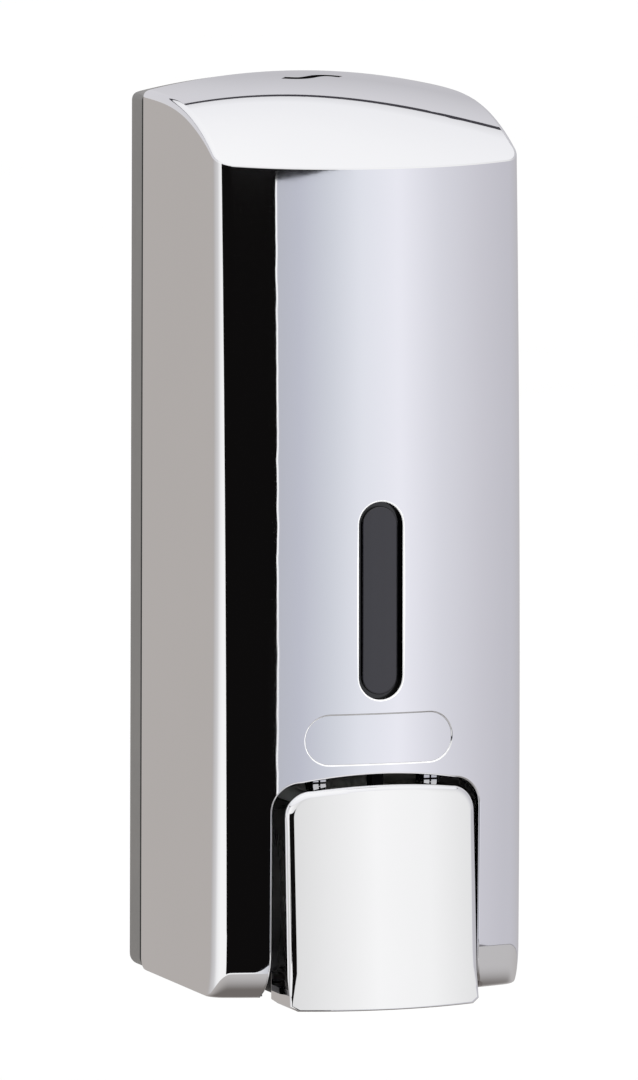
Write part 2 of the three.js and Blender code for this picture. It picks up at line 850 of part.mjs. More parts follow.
// A keeper that holds one of the tank's rails from the side and from below
function railKeeper(side) {
  const headFar = railX + railHead + fitGap;
  const lipRear = tankRearDepth - keeperThick - fitGap;
  const low = railLow - fitGap - keeperStop;
  const wall = block(headFar, headFar + keeperThick, plateFloor / 2, tankRearDepth - fitGap, low, railHigh);
  const lip = block(
    railX + railStem + fitGap, headFar + keeperThick, lipRear, tankRearDepth - fitGap, low, railHigh,
  );
  const stop = block(railX - railHead, headFar + keeperThick, plateFloor / 2, lipRear + fitGap, low, low + keeperStop);
  const keeper = joined(wall, lip, stop);
  return side > 0 ? keeper : keeper.mirror([1, 0, 0]);
}

function backPlate() {
  const body = forwardPrism(plateOutline(0), 0, plateDepth);
  const hollow = forwardPrism(plateOutline(plateRim), plateFloor, plateDepth + overrun);
  const ears = [-1, 1].map((side) => plateEar(side));
  const pumpBosses = [-pumpScrewX, pumpScrewX].map((x) => boss(x, pumpHeight));
  const shelfBosses = [-shelfScrewX, shelfScrewX].map((x) => boss(x, shelfScrewHeight));
  const ribs = plateRibHeights.map((height) => block(
    -halfWidthAt(height) + plateRim / 2, halfWidthAt(height) - plateRim / 2, plateFloor / 2, plateRibDepth - fitGap,
    height - plateRibThick / 2, height + plateRibThick / 2,
  ));
  const keepers = [-1, 1].map((side) => railKeeper(side));
  const bores = [
    ...[-pumpScrewX, pumpScrewX].map((x) => bossBore(x, pumpHeight)),
    ...[-shelfScrewX, shelfScrewX].map((x) => bossBore(x, shelfScrewHeight)),
  ];
  const eyes = rod(
    pinRadius + boreGap, -plateEarInner - plateEarThick - overrun, plateEarInner + plateEarThick + overrun,
    'across', [0, hingeDepth, hingeHeight],
  );
  const keyholes = keyholeHeights.flatMap((height) => [-keyholeX, keyholeX].map((x) => keyhole(x, height)));
  return cut(joined(cut(body, hollow), ears, pumpBosses, shelfBosses, ribs, keepers), bores, eyes, keyholes);
}

// Tank and lid

function tankPlan(inset) {
  return planOutline(tankTop, tankInset + inset, tankRearDepth + inset, frontSag).map(([x, depth]) => [x, depth]);
}

function mouthShape(grow) {
  const middle = (mouthRear + mouthFront) / 2;
  const half = (mouthFront - mouthRear) / 2;
  return roundedBox(mouthHalfWidth + grow, middle - half - grow, middle + half + grow, mouthCorner + grow);
}

function tankRail(side) {
  const stem = block(railX - railStem, railX + railStem, tankRearDepth - keeperThick - overrun / 2,
    tankRearDepth + tankWall / 2, railLow, railHigh);
  const headFront = tankRearDepth - keeperThick - fitGap * 2;
  const head = block(railX - railHead, railX + railHead, headFront - railHeadThick, headFront, railLow, railHigh);
  const rail = joined(stem, head);
  return side > 0 ? rail : rail.mirror([1, 0, 0]);
}

function threadedNeck() {
  const profile = [[neckBore, neckLow], [neckRadius - threadRise, neckLow]];
  for (let i = 0; i < threadCount; i += 1) {
    const start = neckLow + threadPitch * (i + 1 / 2);
    profile.push([neckRadius - threadRise, start]);
    profile.push([neckRadius, start + threadPitch / 4]);
    profile.push([neckRadius, start + threadPitch / 2]);
    profile.push([neckRadius - threadRise, start + (threadPitch * 3) / 4]);
  }
  profile.push([neckRadius, tankBottom + tankWall / 2]);
  profile.push([neckBore, tankBottom + tankWall / 2]);
  profile.push([neckBore, neckLow]);
  return turned(profile, 'up', [0, neckDepth, 0]);
}

function lidEar(side) {
  const near = lidKnuckleHalf + fitGap;
  const far = near + lidEarThick;
  const shape = new THREE.Shape();
  shape.moveTo(lidHingeDepth + lidHingeRadius, tankTop - tankWall / 2);
  shape.lineTo(lidHingeDepth + lidHingeRadius, lidHingeHeight);
  shape.absarc(lidHingeDepth, lidHingeHeight, lidHingeRadius, 0, quarter * 2, false);
  shape.lineTo(lidHingeDepth - lidHingeRadius, tankTop - tankWall / 2);
  return acrossPrism(shape, side > 0 ? near : -far, side > 0 ? far : -near);
}

function tankBody() {
  const outer = upPrism(shapeOf(tankPlan(0)), tankBottom, tankTop);
  const inner = upPrism(shapeOf(tankPlan(tankWall)), tankBottom + tankWall, tankTop - tankWall);
  const rim = upPrism(mouthShape(mouthRim), tankTop - tankWall / 2, mouthTop);
  const ears = [-1, 1].map((side) => lidEar(side));
  const rails = [-1, 1].map((side) => tankRail(side));
  const mouth = upPrism(mouthShape(0), tankTop - tankWall - overrun, mouthTop + overrun);
  const drain = rod(neckBore, neckLow - overrun, tankBottom + tankWall + overrun, 'up', [0, neckDepth, 0], roundSteps);
  const pinBore = rod(
    lidPinRadius + boreGap, -lidKnuckleHalf - lidEarThick - overrun, lidKnuckleHalf + lidEarThick + overrun,
    'across', [0, lidHingeDepth, lidHingeHeight],
  );
  return cut(joined(cut(outer, inner), rim, threadedNeck(), ears, rails), mouth, drain, pinBore);
}

function tankLid() {
  const reach = mouthRim + lidSkirt + overrun;
  const outline = mouthShape(mouthRim + fitGap + lidSkirt);
  const cap = upPrism(outline, mouthTop - lidOverlap, lidTop);
  const hollow = upPrism(mouthShape(mouthRim + fitGap), mouthTop - lidOverlap - overrun, lidUnderside);
  const hingeSide = block(
    -mouthHalfWidth - reach, mouthHalfWidth + reach, mouthRear - reach, mouthRear + mouthCorner,
    mouthTop - lidOverlap - overrun, mouthTop + fitGap,
  );
  const knuckleShape = new THREE.Shape();
  knuckleShape.moveTo(mouthRear - mouthRim - lidSkirt, lidTop);
  knuckleShape.lineTo(lidHingeDepth, lidTop);
  knuckleShape.absarc(lidHingeDepth, lidHingeHeight, lidHingeRadius, quarter, quarter * 3, false);
  knuckleShape.lineTo(mouthRear - mouthRim - lidSkirt, lidHingeHeight - lidHingeRadius);
  const knuckle = acrossPrism(knuckleShape, -lidKnuckleHalf, lidKnuckleHalf);
  const tabRear = mouthFront + mouthRim + lidSkirt - fitGap;
  const tab = block(-lidTab, lidTab, tabRear, tabRear + lidTabReach, lidUnderside, lidTop);
  const pinBore = rod(
    lidPinRadius + boreGap, -lidKnuckleHalf - overrun, lidKnuckleHalf + overrun,
    'across', [0, lidHingeDepth, lidHingeHeight],
  );
  return cut(joined(cut(cap, hollow, hingeSide), knuckle, tab), pinBore);
}

function lidSeal() {
  const low = mouthTop + fitGap;
  const ring = upPrism(mouthShape(mouthRim - fitGap), low, low + sealThick);
  const hole = upPrism(mouthShape(mouthRim - fitGap - sealWidth), low - overrun, low + sealThick + overrun);
  return cut(ring, hole);
}

function lidHingePin() {
  const half = lidKnuckleHalf + lidEarThick + fitGap;
  return chamferedRod(lidPinRadius, -half, half, pinChamfer, 'across', [0, lidHingeDepth, lidHingeHeight]);
}

// Neck joint

function neckGasket() {
  const low = neckLow - fitGap - gasketThick;
  const inner = spigotRadius + fitGap;
  const outer = neckRadius - threadRise;
  const profile = [[inner, low], [outer, low], [outer, neckLow - fitGap], [inner, neckLow - fitGap], [inner, low]];
  return turned(profile, 'up', [0, neckDepth, 0]);
}

function ribbedRing(radius, ribCount, ribRise) {
  const points = [];
  const steps = ribCount * 4;
  for (let i = 0; i < steps; i += 1) {
    const turn = (i / steps) * full;
    const reach = i % 4 < 2 ? radius + ribRise : radius;
    points.push([reach * Math.cos(turn), reach * Math.sin(turn)]);
  }
  return points;
}

function collarNut() {
  const ring = ribbedRing(nutRadius, nutRibCount, nutRibRise).map(([x, y]) => [x, y + neckDepth]);
  const body = upPrism(shapeOf(ring), nutLow, nutLow + nutHeight);
  const thread = rod(neckRadius + runGap, nutLow + nutWall, nutLow + nutHeight + overrun, 'up', [0, neckDepth, 0], roundSteps);
  const passage = rod(spigotRadius + runGap, nutLow - overrun, nutLow + nutWall + overrun, 'up', [0, neckDepth, 0], roundSteps);
  return cut(body, thread, passage);
}

// Pump

function pumpBody() {
  const axis = [0, 0, pumpHeight];
  const barrel = rod(pumpRadius, pumpRear, pumpFront, 'forward', axis, roundSteps);
  const spigot = turned([
    [0, pumpHeight],
    [spigotRadius, pumpHeight],
    [spigotRadius, spigotFlangeLow],
    [spigotFlangeRadius, spigotFlangeLow],
    [spigotFlangeRadius, spigotFlangeTop],
    [spigotRadius, spigotFlangeTop],
    [spigotRadius, spigotTop],
    [0, spigotTop],
  ], 'up', [0, neckDepth, 0]);
  const stub = rod(outletStubRadius, outletStubLow, pumpHeight, 'up', [0, outletDepth, 0], roundSteps);
  const flange = forwardPrism(roundedBox(bracketHalfWidth, bracketLow, bracketHigh, bossRadius), bracketRear, bracketFront);
  const webs = [-bracketWebX, bracketWebX].map((x) => block(
    x - bracketWebThick / 2, x + bracketWebThick / 2, bracketRear + fitGap, pumpRear + overrun,
    bracketLow + bossRadius, bracketHigh - bossRadius,
  ));
  const bore = rod(pumpBore, pumpRear + pumpRearWall, pumpFront + overrun, 'forward', axis, roundSteps);
  const inlet = rod(portRadius, pumpHeight, spigotTop + overrun, 'up', [0, neckDepth, 0]);
  const cage = rod(ballCageRadius, ballCageLow, ballCageHigh, 'up', [0, neckDepth, 0]);
  const outlet = rod(portRadius, outletStubLow - overrun, pumpHeight, 'up', [0, outletDepth, 0]);
  const screwHoles = [-pumpScrewX, pumpScrewX].map((x) => rod(
    screwShank + runGap, bracketRear - overrun, bracketFront + overrun, 'forward', [x, 0, pumpHeight],
  ));
  return cut(joined(barrel, spigot, stub, flange, webs), bore, inlet, cage, outlet, screwHoles);
}

const ballSeat = Math.sqrt(ballRadius ** 2 - portRadius ** 2);
const ballRest = ballCageLow + ballSeat + fitGap;
const ballCageHigh = ballRest + ballTravel + ballSeat + fitGap;
const ballSteps = 14;

function inletBall() {
  const ball = new THREE.SphereGeometry(ballRadius, ballSteps, ballSteps / 2);
  ball.translate(0, -neckDepth, ballRest);
  return solidOf(ball);
}

function pumpGland() {
  const ring = ribbedRing(glandRadius, glandRibCount, glandRibRise).map(([x, z]) => [x, z + pumpHeight]);
  const body = forwardPrism(shapeOf(ring), glandSkirtRear, glandFront);
  const axis = [0, 0, pumpHeight];
  const skirt = rod(pumpRadius + fitGap, glandSkirtRear - overrun, pumpFront + fitGap, 'forward', axis, roundSteps);
  const passage = rod(rodRadius + boreGap, pumpFront, glandFront + overrun, 'forward', axis, roundSteps);
  return cut(body, skirt, passage);
}

function pistonRod() {
  const head = pistonRear + pistonHeadThick;
  const headRadius = pumpBore - fitGap;
  const grooveRear = pistonRear + (pistonHeadThick - sealGroove) / 2;
  const profile = [
    [0, pistonRear],
    [headRadius, pistonRear],
    [headRadius, grooveRear],
    [headRadius - sealDepth, grooveRear],
    [headRadius - sealDepth, grooveRear + sealGroove],
    [headRadius, grooveRear + sealGroove],
    [headRadius, head],
    [rodRadius, head],
    [rodRadius, buttonRear + rodSocket - fitGap],
    [0, buttonRear + rodSocket - fitGap],
  ];
  return turned(profile, 'forward', [0, 0, pumpHeight]);
}

function pistonSeal() {
  const inner = pumpBore - fitGap - sealDepth + boreGap;
  const outer = pumpBore - boreGap / 2;
  const rear = pistonRear + (pistonHeadThick - sealGroove) / 2 + boreGap;
  const front = rear + sealGroove - boreGap * 2;
  const middle = (rear + front) / 2;
  const profile = [
    [inner, rear], [outer - boreGap, rear], [outer, middle - boreGap], [outer, middle + boreGap],
    [outer - boreGap, front], [inner, front], [inner, rear],
  ];
  return turned(profile, 'forward', [0, 0, pumpHeight]);
}

function plungerButton() {
  const profile = [
    [0, buttonRear + rodSocket],
    [rodRadius + boreGap, buttonRear + rodSocket],
    [rodRadius + boreGap, buttonRear],
    [buttonRadius, buttonRear],
    [buttonRadius, buttonFront - buttonRound],
    [buttonRadius - buttonRound * (1 - Math.SQRT1_2), buttonFront - buttonRound * (1 - Math.SQRT1_2)],
    [buttonRadius - buttonRound, buttonFront],
    [0, buttonFront],
  ];
  return turned(profile, 'forward', [0, 0, pumpHeight]);
}

function outletValve() {
  const top = outletStubLow - fitGap;
  const low = top - valveFlangeThick;
  const flange = rod(valveFlange, low, top, 'up', [0, outletDepth, 0]);
  const shape = shapeOf([
    [outletDepth - valveBody, low + fitGap],
    [outletDepth - valveLipHalf, low - valveLength],
    [outletDepth + valveLipHalf, low - valveLength],
    [outletDepth + valveBody, low + fitGap],
  ]);
  const bill = acrossPrism(shape, -valveBody, valveBody).intersect(
    rod(valveBody, low - valveLength - overrun, top, 'up', [0, outletDepth, 0]),
  );
  const bore = rod(portRadius, low, top + overrun, 'up', [0, outletDepth, 0]);
  return cut(joined(flange, bill), bore);
}

function outletNozzle() {
  const valveLow = outletStubLow - fitGap * 2 - valveFlangeThick;
  const profile = [
    [outletStubRadius + boreGap, nozzleTop],
    [nozzleRadius, nozzleTop],
    [nozzleRadius, nozzleTaperHigh],
    [nozzleTipRadius, nozzleLow],
    [nozzleBore, nozzleLow],
    [nozzleBore, nozzleLow + overrun],
    [valveBody + runGap, nozzleTaperHigh - overrun * 2],
    [valveBody + runGap, valveLow],
    [nozzleChamber, valveLow],
    [nozzleChamber, outletStubLow],
    [outletStubRadius + boreGap, outletStubLow],
    [outletStubRadius + boreGap, nozzleTop],
  ];
  return turned(profile, 'up', [0, outletDepth, 0]);
}

function pumpSpring() {
  return spring(
    pumpSpringWire, pumpSpringRadius, pumpSpringTurns,
    pumpRear + pumpRearWall + fitGap, pistonRear - fitGap, 'forward', [0, 0, pumpHeight], 'pump_spring',
  );
}

// Screws

function screw(x, height, seat) {
  const tip = seat - screwReach;
  const profile = [
    [0, tip],
    [screwShank / 2, tip],
    [screwShank, tip + screwShank],
    [screwShank, seat],
    [screwHead, seat],
    [screwHead, seat + screwHeadThick / 2],
    [screwHead * screwDomeShare, seat + screwHeadThick],
    [0, seat + screwHeadThick],
  ];
  const body = turned(profile, 'forward', [x, 0, height]);
  const socket = turned([
    [0, seat + screwHeadThick - screwSocketDepth],
    [screwSocket, seat + screwHeadThick - screwSocketDepth],
    [screwSocket, seat + screwHeadThick + overrun],
    [0, seat + screwHeadThick + overrun],
  ], 'forward', [x, 0, height], hexSides);
  return cut(body, socket);
}

const screwDomeShare = 0.7;
const hexSides = 6;

// Lock at the top

function latchBracket() {
  const shelf = block(-shelfHalfWidth, shelfHalfWidth, bossDepth + fitGap, shelfFront, shelfLow, shelfHigh);
  const flange = block(
    -shelfHalfWidth, shelfHalfWidth, bossDepth + fitGap, shelfFlangeFront, shelfLow, shelfFlangeHigh,
  );
  const gussetShape = shapeOf([
    [shelfFlangeFront - fitGap, shelfLow + fitGap],
    [shelfFront - latchStem, shelfLow + fitGap],
    [shelfFlangeFront - fitGap, shelfFlangeHigh - latchStem],
  ]);
  const gussets = [-shelfHalfWidth, shelfHalfWidth - shelfGussetThick].map(
    (x) => acrossPrism(gussetShape, x, x + shelfGussetThick),
  );
  const stemHole = rod(latchStem + runGap, shelfLow - overrun, shelfHigh + overrun, 'up', [0, lockDepth, 0]);
  const screwHoles = [-shelfScrewX, shelfScrewX].map((x) => rod(
    screwShank + runGap, bossDepth - overrun, shelfFlangeFront + overrun, 'forward', [x, 0, shelfScrewHeight],
  ));
  return cut(joined(shelf, flange, gussets), stemHole, screwHoles);
}

function latchHeadLow() {
  return latchTopAtRest - latchHeadThick;
}

function lockLatch() {
  const headShape = shapeOf([
    [latchRear, latchHeadLow()],
    [latchFront, latchHeadLow()],
    [latchFront, latchTopAtRest - latchSlope],
    [latchFront - latchSlope, latchTopAtRest],
    [latchRear, latchTopAtRest],
  ]);
  const head = acrossPrism(headShape, -latchHalfWidth, latchHalfWidth);
  const groove = latchTailLow() + clipThick;
  const stem = turned([
    [0, latchTailLow()],
    [latchStem, latchTailLow()],
    [latchStem, groove - fitGap / 2],
    [latchStem - clipRise / 2, groove - fitGap / 2],
    [latchStem - clipRise / 2, groove + clipThick + fitGap / 2],
    [latchStem, groove + clipThick + fitGap / 2],
    [latchStem, latchHeadLow() + latchHeadThick / 2],
    [0, latchHeadLow() + latchHeadThick / 2],
  ], 'up', [0, lockDepth, 0], smallRoundSteps);
  return joined(head, stem);
}

function latchTailLow() {
  return shelfLow - latchTravel - fitGap - clipThick * 2;
}

// A split ring in a groove
function splitRing(radius, thick, from, axis, centre) {
  const inner = radius - clipRise / 2 + boreGap;
  const outer = radius + clipRise;
  const ring = turned([[inner, from], [outer, from], [outer, from + thick], [inner, from + thick], [inner, from]],
    axis, centre, smallRoundSteps);
  const mouth = inner * clipMouthShare * 4;
  const gapTool = axis === 'up'
    ? block(centre[0] - mouth / 2, centre[0] + mouth / 2, centre[1], centre[1] + outer + overrun, from - overrun, from + thick + overrun)
    : block(from - overrun, from + thick + overrun, centre[1] - mouth / 2, centre[1] + mouth / 2, centre[2], centre[2] + outer + overrun);
  return cut(ring, gapTool);
}

function latchClip() {
  return splitRing(latchStem, clipThick, latchTailLow() + clipThick, 'up', [0, lockDepth, 0]);
}

function latchSpring() {
  return spring(
    latchSpringWire, latchSpringRadius, latchSpringTurns,
    shelfHigh + fitGap, latchHeadLow() - fitGap, 'up', [0, lockDepth, 0], 'latch_spring',
  );
}

// Hinge pins and lever axle

function hingePin(side) {
  const near = plateEarInner;
  const far = halfWidthBottom - pinSideWall - fitGap;
  const from = side > 0 ? near : -far;
  return chamferedRod(pinRadius, from, from + far - near, pinChamfer, 'across', [0, hingeDepth, hingeHeight]);
}

const axleEnd = earX + earThick / 2 + fitGap + clipThick * 2.5;
const clipPlace = earX + earThick / 2 + fitGap + clipThick / 2;

function leverAxle() {
  const neck = axleRadius - clipRise / 2;
  const a = clipPlace - fitGap / 2;
  const b = clipPlace + clipThick + fitGap / 2;
  const profile = [
    [0, -axleEnd], [axleRadius, -axleEnd], [axleRadius, -b], [neck, -b], [neck, -a], [axleRadius, -a],
    [axleRadius, a], [neck, a], [neck, b], [axleRadius, b], [axleRadius, axleEnd], [0, axleEnd],
  ];
  return turned(profile, 'across', [0, axleDepth, axleHeight], smallRoundSteps);
}

function axleClip(side) {
  const from = side > 0 ? clipPlace : -clipPlace - clipThick;
  return splitRing(axleRadius, clipThick, from, 'across', [0, axleDepth, axleHeight]);
}

// Push lever

function leverFaceDepth(x, height) {
  const share = (height - leverLow) / (leverHigh - leverLow);
  const corner = leverBottomDepth + (leverTopDepth - leverBottomDepth) * share;
  return corner + leverBulge * (1 - (x / leverHalfWidth) ** 2);
}

// Front view outline of the lever, moved inwards by an inset
function leverOutline(inset, low = leverLow + inset) {
  const half = leverHalfWidth - inset;
  const corner = Math.max(leverCorner - inset, leverEdge);
  const side = leverSideHigh - inset;
  const points = [];
  for (let i = 0; i < leverFaceSteps; i += 1) {
    points.push([-half + (2 * half * i) / leverFaceSteps, low]);
  }
  for (let i = 0; i < leverSideSteps; i += 1) {
    points.push([half, low + ((side - corner - low) * i) / leverSideSteps]);
  }
  points.push([half, side - corner]);
  points.push(...archPoints(half, leverHigh - inset, side, corner, leverFaceSteps));
  for (let i = 1; i < leverSideSteps; i += 1) {
    points.push([-half, side - corner + ((low - side + corner) * i) / leverSideSteps]);
  }
  return points;
}

// The lever's block with softened front edges, or the same form moved inwards
function leverForm(inset, rear, edge) {
  const middle = (leverLow + leverHigh) / 2;
  const place = ([x, height], depth) => new THREE.Vector3(x, -depth, height);
  const base = leverOutline(inset);
  const rings = [base.map(() => place([0, middle], rear)), base.map((point) => place(point, rear))];
  for (let i = 0; i <= leverEdgeSteps; i += 1) {
    const turn = quarter * (i / leverEdgeSteps);
    const drawn = leverOutline(inset + edge * (1 - Math.cos(turn)));
    rings.push(drawn.map((point) => {
      const depth = leverFaceDepth(point[0], point[1]) - inset - edge * (1 - Math.sin(turn));
      return place(point, depth);
    }));
  }
  const face = leverOutline(inset + edge);
  for (const share of leverRingShares) {
    rings.push(face.map(([x, height]) => {
      const point = [x * (1 - share), middle + (height - middle) * (1 - share)];
      return place(point, leverFaceDepth(...point) - inset);
    }));
  }
  const peak = place([0, middle], leverFaceDepth(0, middle) - inset);
  rings.push(face.map(() => peak));
  return ringSolid(rings);
}

const leverRingShares = [0.25, 0.5, 0.75];

function leverLug(x) {
  const shape = new THREE.Shape();
  const low = leverSideHigh - leverWall / 2;
  shape.moveTo(axleDepth - lugRadius, low);
  shape.lineTo(axleDepth + lugRadius, low);
  shape.lineTo(axleDepth + lugRadius, axleHeight);
  shape.absarc(axleDepth, axleHeight, lugRadius, 0, quarter * 2, false);
  return acrossPrism(shape, x - lugThick / 2, x + lugThick / 2);
}

function pushLever() {
  const shell = cut(leverForm(0, leverRear, leverEdge), leverForm(leverWall, leverRear - overrun, 1 / 2));
  const lugs = [-lugX, lugX].map((x) => leverLug(x));
  const ribs = [-leverRibX, leverRibX].map((x) => {
    const shape = shapeOf([
      [leverRibRear, leverLow + leverWall / 2],
      [leverFaceDepth(x, leverLow) - leverWall / 2, leverLow + leverWall / 2],
      [leverFaceDepth(x, leverHigh) - leverWall / 2, leverSideHigh - leverWall / 2],
      [leverRibRear - leverWall, leverSideHigh - leverWall / 2],
    ]);
    return acrossPrism(shape, x - leverRibThick / 2, x + leverRibThick / 2);
  });
  const bossRear = padFace + padThick + fitGap / 2;
  const bossFront = leverFaceDepth(0, pumpHeight) - leverWall / 2;
  const pusher = rod(padRadius + overrun, bossRear, bossFront, 'forward', [0, 0, pumpHeight], roundSteps);
  const nub = block(
    -nubHalfWidth, nubHalfWidth, nubRear, frontDepthAt(0, nubHigh, coverWall) - runGap,
    leverSideHigh - leverWall / 2, nubHigh,
  );
  const axleBore = rod(axleRadius + boreGap, -lugX - lugThick, lugX + lugThick, 'across', [0, axleDepth, axleHeight]);
  const padSocket = rod(
    padStem + boreGap, bossRear - overrun, bossRear + padStemLength + fitGap, 'forward', [0, 0, pumpHeight],
  );
  return cut(joined(shell, lugs, ribs, pusher, nub), axleBore, padSocket);
}

function pusherPad() {
  const rear = padFace + padThick;
  const profile = [
    [0, padFace],
    [padFaceRadius, padFace],
    [padRadius, padFace + padRadius - padFaceRadius],
    [padRadius, rear],
    [padStem, rear],
    [padStem, rear + padStemLength],
    [0, rear + padStemLength],
  ];
  return turned(profile, 'forward', [0, 0, pumpHeight]);
}

// Materials and assembly

const finishes = {
  chrome: { color: 0xe6e8ec, roughness: 0.06, metalness: 1 },
  greyPlastic: { color: 0x9a9a98, roughness: 0.4, metalness: 0 },
  clearPlastic: { color: 0xe4ecee, roughness: 0.2, metalness: 0 },
  whitePlastic: { color: 0xf0efea, roughness: 0.4, metalness: 0 },
  blackPlastic: { color: 0x202022, roughness: 0.45, metalness: 0 },
  smokedPlastic: { color: 0x2a2b30, roughness: 0.1, metalness: 0 },
  rubber: { color: 0x2b2b2b, roughness: 0.8, metalness: 0 },
  steel: { color: 0xb9bcc0, roughness: 0.3, metalness: 1 },
};

function meshOf(name, solid, finish) {
  const body = solid.getMesh();
  const geometry = new THREE.BufferGeometry();
  geometry.setAttribute('position', new THREE.BufferAttribute(new Float32Array(body.vertProperties), 3));
  geometry.setIndex(new THREE.BufferAttribute(new Uint32Array(body.triVerts), 1));
  geometry.translate(0, 0, -originHeight);
  geometry.computeVertexNormals();
  const mesh = new THREE.Mesh(geometry, new THREE.MeshStandardMaterial(finishes[finish]));
  mesh.name = name;
  return mesh;
}

function assembly() {
  const pieces = [
    ['back_plate', backPlate(), 'greyPlastic'],
    ['front_cover', frontCover(), 'chrome'],
    ['window_lens', windowLens(), 'smokedPlastic'],
    ['name_plate', namePlate(), 'chrome'],
    ['push_lever', pushLever(), 'chrome'],
    ['pusher_pad', pusherPad(), 'rubber'],
    ['lever_axle', leverAxle(), 'steel'],
    ['axle_clip_left', axleClip(-1), 'steel'],
    ['axle_clip_right', axleClip(1), 'steel'],
    ['hinge_pin_left', hingePin(-1), 'steel'],
    ['hinge_pin_right', hingePin(1), 'steel'],
    ['soap_tank', tankBody(), 'clearPlastic'],
    ['tank_lid', tankLid(), 'whitePlastic'],
    ['lid_seal', lidSeal(), 'rubber'],
    ['lid_hinge_pin', lidHingePin(), 'steel'],
    ['neck_gasket', neckGasket(), 'rubber'],
    ['collar_nut', collarNut(), 'whitePlastic'],
    ['pump_body', pumpBody(), 'whitePlastic'],
    ['pump_gland', pumpGland(), 'blackPlastic'],
    ['piston_rod', pistonRod(), 'whitePlastic'],
    ['piston_seal', pistonSeal(), 'rubber'],
    ['plunger_button', plungerButton(), 'blackPlastic'],
    ['pump_spring', pumpSpring(), 'steel'],
    ['inlet_ball', inletBall(), 'steel'],
    ['outlet_valve', outletValve(), 'rubber'],
    ['outlet_nozzle', outletNozzle(), 'blackPlastic'],
    ['pump_screw_left', screw(-pumpScrewX, pumpHeight, bracketFront + fitGap), 'steel'],
    ['pump_screw_right', screw(pumpScrewX, pumpHeight, bracketFront + fitGap), 'steel'],
    ['latch_bracket', latchBracket(), 'blackPlastic'],
    ['bracket_screw_left', screw(-shelfScrewX, shelfScrewHeight, shelfFlangeFront + fitGap), 'steel'],
    ['bracket_screw_right', screw(shelfScrewX, shelfScrewHeight, shelfFlangeFront + fitGap), 'steel'],
    ['lock_latch', lockLatch(), 'whitePlastic'],
    ['latch_spring', latchSpring(), 'steel'],
    ['latch_clip', latchClip(), 'steel'],
  ];
  const group = new THREE.Group();
  group.name = 'soap_dispenser';
  pieces.forEach(([name, solid, finish]) => group.add(meshOf(name, solid, finish)));
  return group;
}

export default assembly();
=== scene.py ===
"""Looks of a hinged wall soap dispenser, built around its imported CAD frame.

Sizes in the classes are millimetres: x to the right, depth out from the wall and height above the
housing's bottom edge, as in the part's source. `to_row` turns them into metres in the row frame.
"""

from __future__ import annotations

import logging
import math
from dataclasses import dataclass, replace
from enum import Enum, IntEnum
from typing import Callable, ClassVar, Sequence

import bmesh
import bpy
import numpy as np
from mathutils import Matrix, Vector
from mathutils.bvhtree import BVHTree


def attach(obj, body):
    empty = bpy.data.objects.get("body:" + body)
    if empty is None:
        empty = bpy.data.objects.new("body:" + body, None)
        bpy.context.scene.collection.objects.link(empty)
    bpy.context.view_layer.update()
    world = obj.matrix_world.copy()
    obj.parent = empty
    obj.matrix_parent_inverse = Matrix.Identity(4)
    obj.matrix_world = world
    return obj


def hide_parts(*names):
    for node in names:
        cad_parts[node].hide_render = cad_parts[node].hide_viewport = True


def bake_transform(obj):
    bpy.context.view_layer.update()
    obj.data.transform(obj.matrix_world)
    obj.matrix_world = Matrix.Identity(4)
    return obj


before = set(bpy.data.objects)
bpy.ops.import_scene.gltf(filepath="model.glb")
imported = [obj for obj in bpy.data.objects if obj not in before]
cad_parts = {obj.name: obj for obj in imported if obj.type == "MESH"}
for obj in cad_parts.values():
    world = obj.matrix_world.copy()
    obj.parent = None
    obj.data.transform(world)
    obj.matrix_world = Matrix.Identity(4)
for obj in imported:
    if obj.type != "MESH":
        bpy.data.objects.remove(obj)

Rgb = tuple[int, int, int]
Linear = tuple[float, float, float, float]
Triple = tuple[float, float, float]
Pair = tuple[float, float]
Profile = list[Pair]
Stops = tuple[tuple[float, Rgb], ...]
Shares = tuple[float, ...]
Mesh = bpy.types.Mesh
Socket = bpy.types.NodeSocket
Stretch = Callable[[slice, np.ndarray], tuple[np.ndarray, np.ndarray]]

LOG = logging.getLogger("soap_dispenser")
MILLIMETRE = 0.001
ORIGIN_HEIGHT = 113.0
OVERRUN = 1.0
MERGE = 1e-7
SLACK = 0.1
QUARTER = math.pi / 2


class Axis(Enum):
    """The way an axle, bore or push-out runs."""

    ACROSS = "across"
    FORWARD = "forward"
    UP = "up"


class Slot(Enum):
    """The record's material slots."""

    PLATED = "plated_plastic"
    GREY = "grey_plastic"
    SMOKED = "smoked_plastic"
    CLEAR = "clear_plastic"
    WHITE = "white_plastic"
    BLACK = "black_plastic"
    RUBBER = "rubber"
    STEEL = "steel"


class Place(IntEnum):
    """Numbers of a plated piece's finishes on its mesh."""

    FACE = 0
    DULL = 1
    # Painted shade: the near-black finish for walls that lie in shadow.
    RECESS_SHADE = 2
    # Painted highlight: the near-white finish on rims.
    RIM = 3


def to_row(x: np.ndarray, depth: np.ndarray, height: np.ndarray) -> np.ndarray:
    """Turns places in millimetres into points of the row frame.

    Args:
        x: Places to the right of the middle.
        depth: Distances out from the wall.
        height: Heights above the housing's bottom edge.

    Returns:
        An array of points in metres, one row each.
    """
    x, depth, height = np.broadcast_arrays(x, depth, height)
    return np.stack([x, -depth, height - ORIGIN_HEIGHT], axis=-1) * MILLIMETRE


def linear(red: int, green: int, blue: int) -> Linear:
    """Turns a screen colour of 0 to 255 into the linear colour that a node takes.

    Args:
        red: Red on the screen.
        green: Green on the screen.
        blue: Blue on the screen.

    Returns:
        The linear colour with full alpha.
    """
    shares = [value / 255 for value in (red, green, blue)]
    mixed = [s / 12.92 if s <= 0.04045 else ((s + 0.055) / 1.055) ** 2.4 for s in shares]
    return (mixed[0], mixed[1], mixed[2], 1.0)


# Meshes


